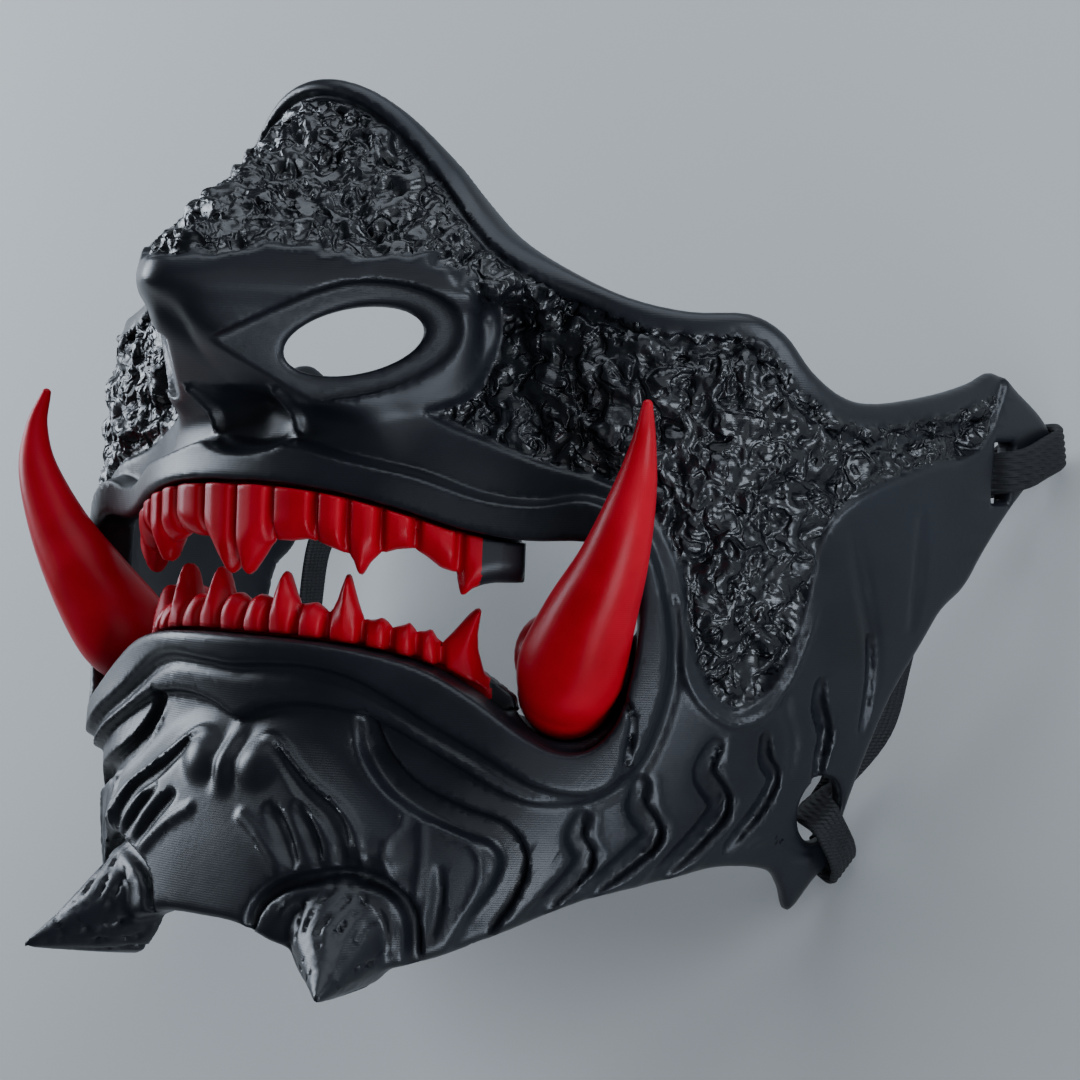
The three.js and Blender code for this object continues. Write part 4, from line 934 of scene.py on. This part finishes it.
teeth = {
    "halfThickness": 2.7, "tipThickness": 0.3, "tipRounding": 3.5, "edgeRounding": 0.8,
    "grooveHalfWidth": 1.1, "grooveDepth": 1.5, "bulge": 0.5, "crest": 0.35, "crestShift": 0.1,
    "underLip": 0.2, "rootHeight": 2.4, "flangeHeight": 5, "flangeThickness": 2.2,
    "rowEnd": 60, "rowReach": 30, "lipEnd": 31, "step": 0.5,
}
# each row: radius of its front, grooves in degrees along the arch, free edge in degrees and height
upperRow = {
    "front": 44.4, "redEnd": 50.5, "low": (-46, -90, -6), "high": (46, -52, 24),
    "grooves": [0, 8.8, 18.2, 24.6, 31.3, 38, 46.4],
    "edge": [
        (0, 3.4), (1.1, 1.6), (2.1, 0.7), (3.2, 1.3), (5.5, 3.6), (7.2, 5.3), (8.8, 6.3),
        (12.5, 6.3), (16.3, 6.7), (18.6, 6.3), (21.1, 5.6), (23.8, 4.9), (24.7, 4.8), (25.8, 3.8),
        (26.7, 2.1), (27.4, 1.5), (28.1, 2.1), (29.1, 3.5), (30.9, 4.9), (34.3, 5.7), (37.6, 6),
        (40.1, 4.9), (43.1, 3.2), (45.9, 2.6), (46.4, 1.2), (47.1, -0.7), (47.9, -0.8),
        (49.4, 0.2), (51.6, 0.9), (54, 1.2), (62, 1.3),
    ],
}
lowerRow = {
    "front": 42, "redEnd": 54, "low": (-46, -90, -32), "high": (46, -52, 6),
    "grooves": [0, 6.4, 13.3, 20, 27.6, 33.5, 38.8, 43.8],
    "edge": [
        (0, -3.6), (1.2, -2.8), (3.2, -2.1), (5, -2.5), (6.1, -2.6), (7.2, -1.2), (8.2, 0.4),
        (9.2, 1.6), (9.9, 1.5), (10.8, 0), (11.8, -1.7), (13.2, -3.3), (15, -3.1), (17, -2.9),
        (18.7, -3.7), (19.7, -4.2), (20.7, -3.7), (21.7, -2.3), (22.5, -0.4), (23.5, 1.6),
        (24.3, 1.6), (25.1, -0.2), (26.2, -2.7), (27.6, -5), (29.6, -5.2), (31.4, -4.7),
        (32.5, -5.2), (33.9, -6.1), (36, -5.7), (37.3, -5.3), (38.9, -6.6), (40.6, -6.5),
        (41.9, -6.1), (43.1, -7.5), (44, -8.3), (46.4, -6.5), (49.9, -3.6), (51.6, -2.6),
        (52.2, -3.2), (51.6, -6.6), (51.8, -9), (53.3, -12.7), (56, -15),
    ],
}


def lipHeights(pick):
    # height of the upper or lower lip along the skin
    line = lines["mouth"]
    s = np.arange(0, teeth["lipEnd"] * skin["mmPerDegree"] + 0.5, 0.25)
    out = []
    for at in s:
        cross = [(a, b) for a, b in zip(line[:-1], line[1:]) if (a[0] <= at) != (b[0] <= at)]
        out.append(pick(a[1] + (at - a[0]) / (b[0] - a[0]) * (b[1] - a[1]) for a, b in cross))
    return s, out


def edgeDistance(line, a, z):
    best = np.full(len(a), 1e9)
    inside = np.zeros(len(a), bool)
    for (pa, pz), (qa, qz) in zip(line, np.roll(line, -1, 0)):
        da, dz = qa - pa, qz - pz
        t = np.clip(((a - pa) * da + (z - pz) * dz) / (da * da + dz * dz), 0, 1)
        best = np.minimum(best, (a - pa - t * da) ** 2 + (z - pz - t * dz) ** 2)
        if pz != qz:
            inside ^= ((pz > z) != (qz > z)) & (a < pa + (z - pz) / (qz - pz) * da)
    return np.where(inside, np.sqrt(best), -np.sqrt(best))


def archAngle(x, y):
    return np.degrees(np.arctan2(np.abs(x) / face["archWidening"], face["archCentreY"] - y))


def toothField(row, pick):
    lipS, lipZ = lipHeights(pick)
    turned = 1 if pick is max else -1
    perDegree = row["front"] * math.pi / 180
    t = teeth
    half = np.array(row["edge"]) * (perDegree, 1)
    far = [(half[-1][0], turned * t["rowReach"]), (-half[-1][0], turned * t["rowReach"])]
    line = np.concatenate([half, far, (half * (-1, 1))[:0:-1]])
    grooves = np.array(row["grooves"] + [t["rowEnd"]]) * perDegree

    def field(points):
        x, y, z = points.T
        along = archAngle(x, y) * perDegree
        radius = np.hypot(x / face["archWidening"], face["archCentreY"] - y)
        lean = radius - row["front"] + t["halfThickness"]
        gum = np.interp(np.minimum(skinPlace(x, y), t["lipEnd"] * skin["mmPerDegree"]), lipS, lipZ)
        behind = formDistance(x, y, z) + face["wall"] + face["pieceGap"]
        intoLip = (z - gum) * turned
        root = -intoLip - t["rootHeight"]
        plate = np.abs(behind + t["flangeThickness"] / 2) - t["flangeThickness"] / 2
        flange = np.maximum.reduce([plate, intoLip - t["flangeHeight"], root])
        gums = np.maximum.reduce([-behind - t["flangeThickness"], lean, root, intoLip - 1])
        inside = edgeDistance(line, along, z)
        fullness = 1 - (1 - np.clip(inside / t["tipRounding"], 0, 1)) ** 2
        tooth = np.clip(np.searchsorted(grooves, along) - 1, 0, len(grooves) - 2)
        start, end = grooves[tooth], grooves[tooth + 1]
        across = (2 * along - start - end) / (end - start)
        toGroove = np.minimum(along - start, end - along)
        shape = t["crest"] * (1 - np.abs(across - t["crestShift"])) - t["bulge"] * across**4
        shape -= t["grooveDepth"] * ridge(toGroove, t["grooveHalfWidth"])
        thick = t["halfThickness"] * (t["tipThickness"] + (1 - t["tipThickness"]) * fullness)
        thick += shape * fullness**0.5
        crowns = smoothMax(np.abs(lean) - thick, -inside, t["edgeRounding"]) * 0.9
        crowns = np.maximum(crowns, intoLip - t["underLip"])
        solid = np.minimum.reduce([flange, gums, crowns])
        solid = np.maximum(solid, along - t["rowEnd"] * perDegree)
        clear = np.minimum(shellDistance(points), taperedDistance(tuskLine, np.abs(x), y, z))
        return smoothMax(solid, face["pieceGap"] - clear, 0.3)

    return field


def makeTeeth(name, row, pick, nodeName):
    points, faces = surfaceNet(toothField(row, pick), row["low"], row["high"], teeth["step"])
    report(f"{name}, {len(faces)} faces")
    along = archAngle(points[:, 0], points[:, 1])
    gum = (along[faces].mean(1) > row["redEnd"]).astype(int)
    obj = meshObject(name, layDown(points), faces.tolist(), [toothRed, satinBlack], gum)
    return placed(obj, nodeName)


# straps

strap = {
    "width": 6.6, "thickness": 1.6, "gap": 0.6, "stations": 150,
    "ribs": 6, "ribDepth": 0.25, "pointsPerRib": 6, "edgeThinning": 0.35,
}


def offSkin(angle, z, off):
    # the point so far off the plain face, found by halving
    out = np.array([math.sin(math.radians(angle)), -math.cos(math.radians(angle)), 0])
    near, far = 20.0, 180.0
    for _ in range(40):
        middle = (near + far) / 2
        p = np.array([0, skin["axisY"], z]) + out * middle
        if formDistance(p[:1], p[1:2], p[2:])[0] < off:
            near = middle
        else:
            far = middle
    return np.array([0, skin["axisY"], z]) + out * near


def evenLine(points, count):
    p = np.array(points, float)
    p = np.concatenate([[2 * p[0] - p[1]], p, [2 * p[-1] - p[-2]]])
    spans = len(p) - 3
    out = []
    for t in np.linspace(0, spans, count):
        i = min(int(t), spans - 1)
        w = t - i
        a, b, c, d = p[i : i + 4]
        k = [max(np.linalg.norm(q[:3] - r[:3]) ** 0.5, 1e-3) for q, r in ((a, b), (b, c), (c, d))]
        m1 = ((b - a) / k[0] - (c - a) / (k[0] + k[1]) + (c - b) / k[1]) * k[1]
        m2 = ((c - b) / k[1] - (d - b) / (k[1] + k[2]) + (d - c) / k[2]) * k[1]
        out.append(b + m1 * w + (3 * (c - b) - 2 * m1 - m2) * w**2 + (2 * (b - c) + m1 + m2) * w**3)
    return np.array(out)


def strapRoute():
    outside = strap["gap"] + strap["thickness"] / 2
    inside = -face["wall"] - outside
    middle = -face["wall"] / 2
    ear, earZ = earSlot["angle"], earSlot["z"]
    jaw, jawZ = jawHole["angle"], jawHole["z"]
    earWidth, runWidth, jawWidth = (0, 0.25, -0.97), (0.1, 0.9, -0.35), (0, 0.8, 0.6)
    onFace = [
        (ear + 5, earZ - 0.8, inside - 0.5, earWidth), (ear + 2.4, earZ - 0.8, inside - 0.6, earWidth),
        (ear + 0.5, earZ - 0.5, inside + 1.2, earWidth), (ear - 0.2, earZ - 0.2, middle, earWidth),
        (ear + 0.6, earZ + 0.2, outside - 0.8, earWidth), (ear + 3, earZ + 1, outside + 0.5, earWidth),
        (ear + 6.5, earZ + 2.6, outside + 0.4, earWidth), (ear + 10.6, earZ + 4.4, outside - 0.2, earWidth),
        (ear + 12.9, earZ + 5.2, middle, earWidth), (ear + 11, earZ + 4, inside - 1, (0, 0.4, -0.9)),
    ]
    free = [
        (70.2, 15, 18, (0, 0.7, -0.6)), (68.4, 8.5, 9, runWidth), (67, 2.5, 2, runWidth),
        (66, -0.5, -10, runWidth), (64.6, -3.2, -21, runWidth),
    ]
    onJaw = [
        (jaw + 6, jawZ + 3.4, inside - 2.8, (0, 0.9, 0)),
        (jaw + 1.8, jawZ + 0.8, inside - 2, (0, 0.9, 0.4)),
        (jaw - 0.3, jawZ, middle, jawWidth), (jaw + 0.5, jawZ - 1.6, outside, jawWidth),
        (jaw + 2, jawZ - 4.4, outside + 0.9, jawWidth), (jaw + 4, jawZ - 8, outside + 0.6, jawWidth),
        (jaw + 5.6, jawZ - 10.4, middle, jawWidth), (jaw + 4, jawZ - 8.6, inside - 0.9, jawWidth),
        (jaw + 2.2, jawZ - 6.4, inside - 0.9, jawWidth),
    ]
    places = [(*offSkin(a, z, off), *width) for a, z, off, width in onFace]
    places += [(x, y, z, *width) for x, y, z, width in free]
    places += [(*offSkin(a, z, off), *width) for a, z, off, width in onJaw]
    return evenLine(places, strap["stations"])


def strapSection():
    half, thick, ribs = strap["width"] / 2, strap["thickness"] / 2, strap["ribs"]
    across = np.linspace(-1, 1, ribs * strap["pointsPerRib"] + 1)
    ribbing = strap["ribDepth"] * (0.5 + 0.5 * np.cos(across * math.pi * ribs))
    height = thick - ribbing - strap["edgeThinning"] * thick * across**6
    front = np.stack([across * half, height], 1)
    return np.concatenate([front, front[::-1] * (1, -1)])


def makeStrap(side):
    route = strapRoute()
    centre, width = route[:, :3], route[:, 3:]
    along = unit(np.gradient(centre, axis=0))
    width = unit(width - along * (width * along).sum(1)[:, None])
    over = np.cross(along, width)
    section = strapSection()
    points = centre[:, None] + section[:, :1] * width[:, None] + section[:, 1:] * over[:, None]
    faces = tubeFaces(*points.shape[:2])[:, ::-1].tolist()
    sidePiece("strap", side, points.reshape(-1, 3), faces, strapElastic)


makeShell()
report("shell")
makeTeeth("upperTeeth", upperRow, max, "upper_teeth")
makeTeeth("lowerTeeth", lowerRow, min, "lower_teeth")
for side in (1, -1):
    makeTusk(side)
for side in (1, -1):
    makeStrap(side)
report("tusks and straps")


# floor, camera and lights

studio = {
    "floor": (0.42, 0.425, 0.42), "world": (0.56, 0.62, 0.70), "worldStrength": 0.15,
    "cameraFrom": (341.16, -419.50, 20.11),
    "cameraRight": (0.7654, 0.6427, 0.0351), "cameraUp": (-0.0438, -0.0025, 0.9990), "lens": 103.2,
    "lights": [  # where it stands and aims in the upright face's mm, size in metres, watts, colour
        ("leftFront", (-590, -230, 180), (0, -60, 0), 0.45, 5.6, (0.79, 0.88, 1)),
        ("overhead", (60, -120, 640), (20, -50, 0), 0.7, 3.2, (0.80, 0.89, 1)),
        ("rightRim", (600, -100, 260), (50, -20, 0), 0.35, 2.6, (0.80, 0.89, 1)),
        ("rightLow", (470, -290, -330), (50, -50, -30), 0.3, 2.4, (0.79, 0.88, 1)),
        ("rightFront", (420, -480, 60), (0, -60, 0), 0.5, 0.5, (0.9, 0.95, 1)),
    ],
}


def makeStudio():
    bpy.ops.mesh.primitive_plane_add(size=6, location=(0, 0, 0))
    floor = bpy.context.object
    floor.name = "floor"
    material = bpy.data.materials.new("paleFloor")
    material.use_nodes = True
    shader = material.node_tree.nodes["Principled BSDF"]
    shader.inputs["Base Color"].default_value = (*studio["floor"], 1)
    shader.inputs["Roughness"].default_value = 0.9
    floor.data.materials.append(material)
    world = bpy.data.worlds.new("studio")
    world.use_nodes = True
    background = world.node_tree.nodes["Background"]
    background.inputs["Color"].default_value = (*studio["world"], 1)
    background.inputs["Strength"].default_value = studio["worldStrength"]
    bpy.context.scene.world = world
    for name, place, aim, size, watts, colour in studio["lights"]:
        data = bpy.data.lights.new(name, "AREA")
        data.shape, data.size, data.energy, data.color = "DISK", size, watts, colour
        light = bpy.data.objects.new(name, data)
        at, to = Vector(layDown([place])[0]), Vector(layDown([aim])[0])
        light.location = at
        light.rotation_mode = "QUATERNION"
        light.rotation_quaternion = (to - at).to_track_quat("-Z", "Y")
        bpy.context.scene.collection.objects.link(light)


def makeCamera():
    data = bpy.data.cameras.new("photoView")
    camera = bpy.data.objects.new("photoView", data)
    bpy.context.scene.collection.objects.link(camera)
    data.sensor_width = 36
    data.lens = studio["lens"]
    right, up = layDirection(studio["cameraRight"]), layDirection(studio["cameraUp"])
    back = right.cross(up)
    turn = Matrix((right, back.cross(right), back)).transposed()
    camera.matrix_world = Matrix.Translation(Vector(layDown([studio["cameraFrom"]])[0])) @ turn.to_4x4()
    data.clip_start, data.clip_end = 0.01, 20
    bpy.context.scene.camera = camera


makeStudio()
makeCamera()
bpy.context.view_layer.update()
report("scene ready")
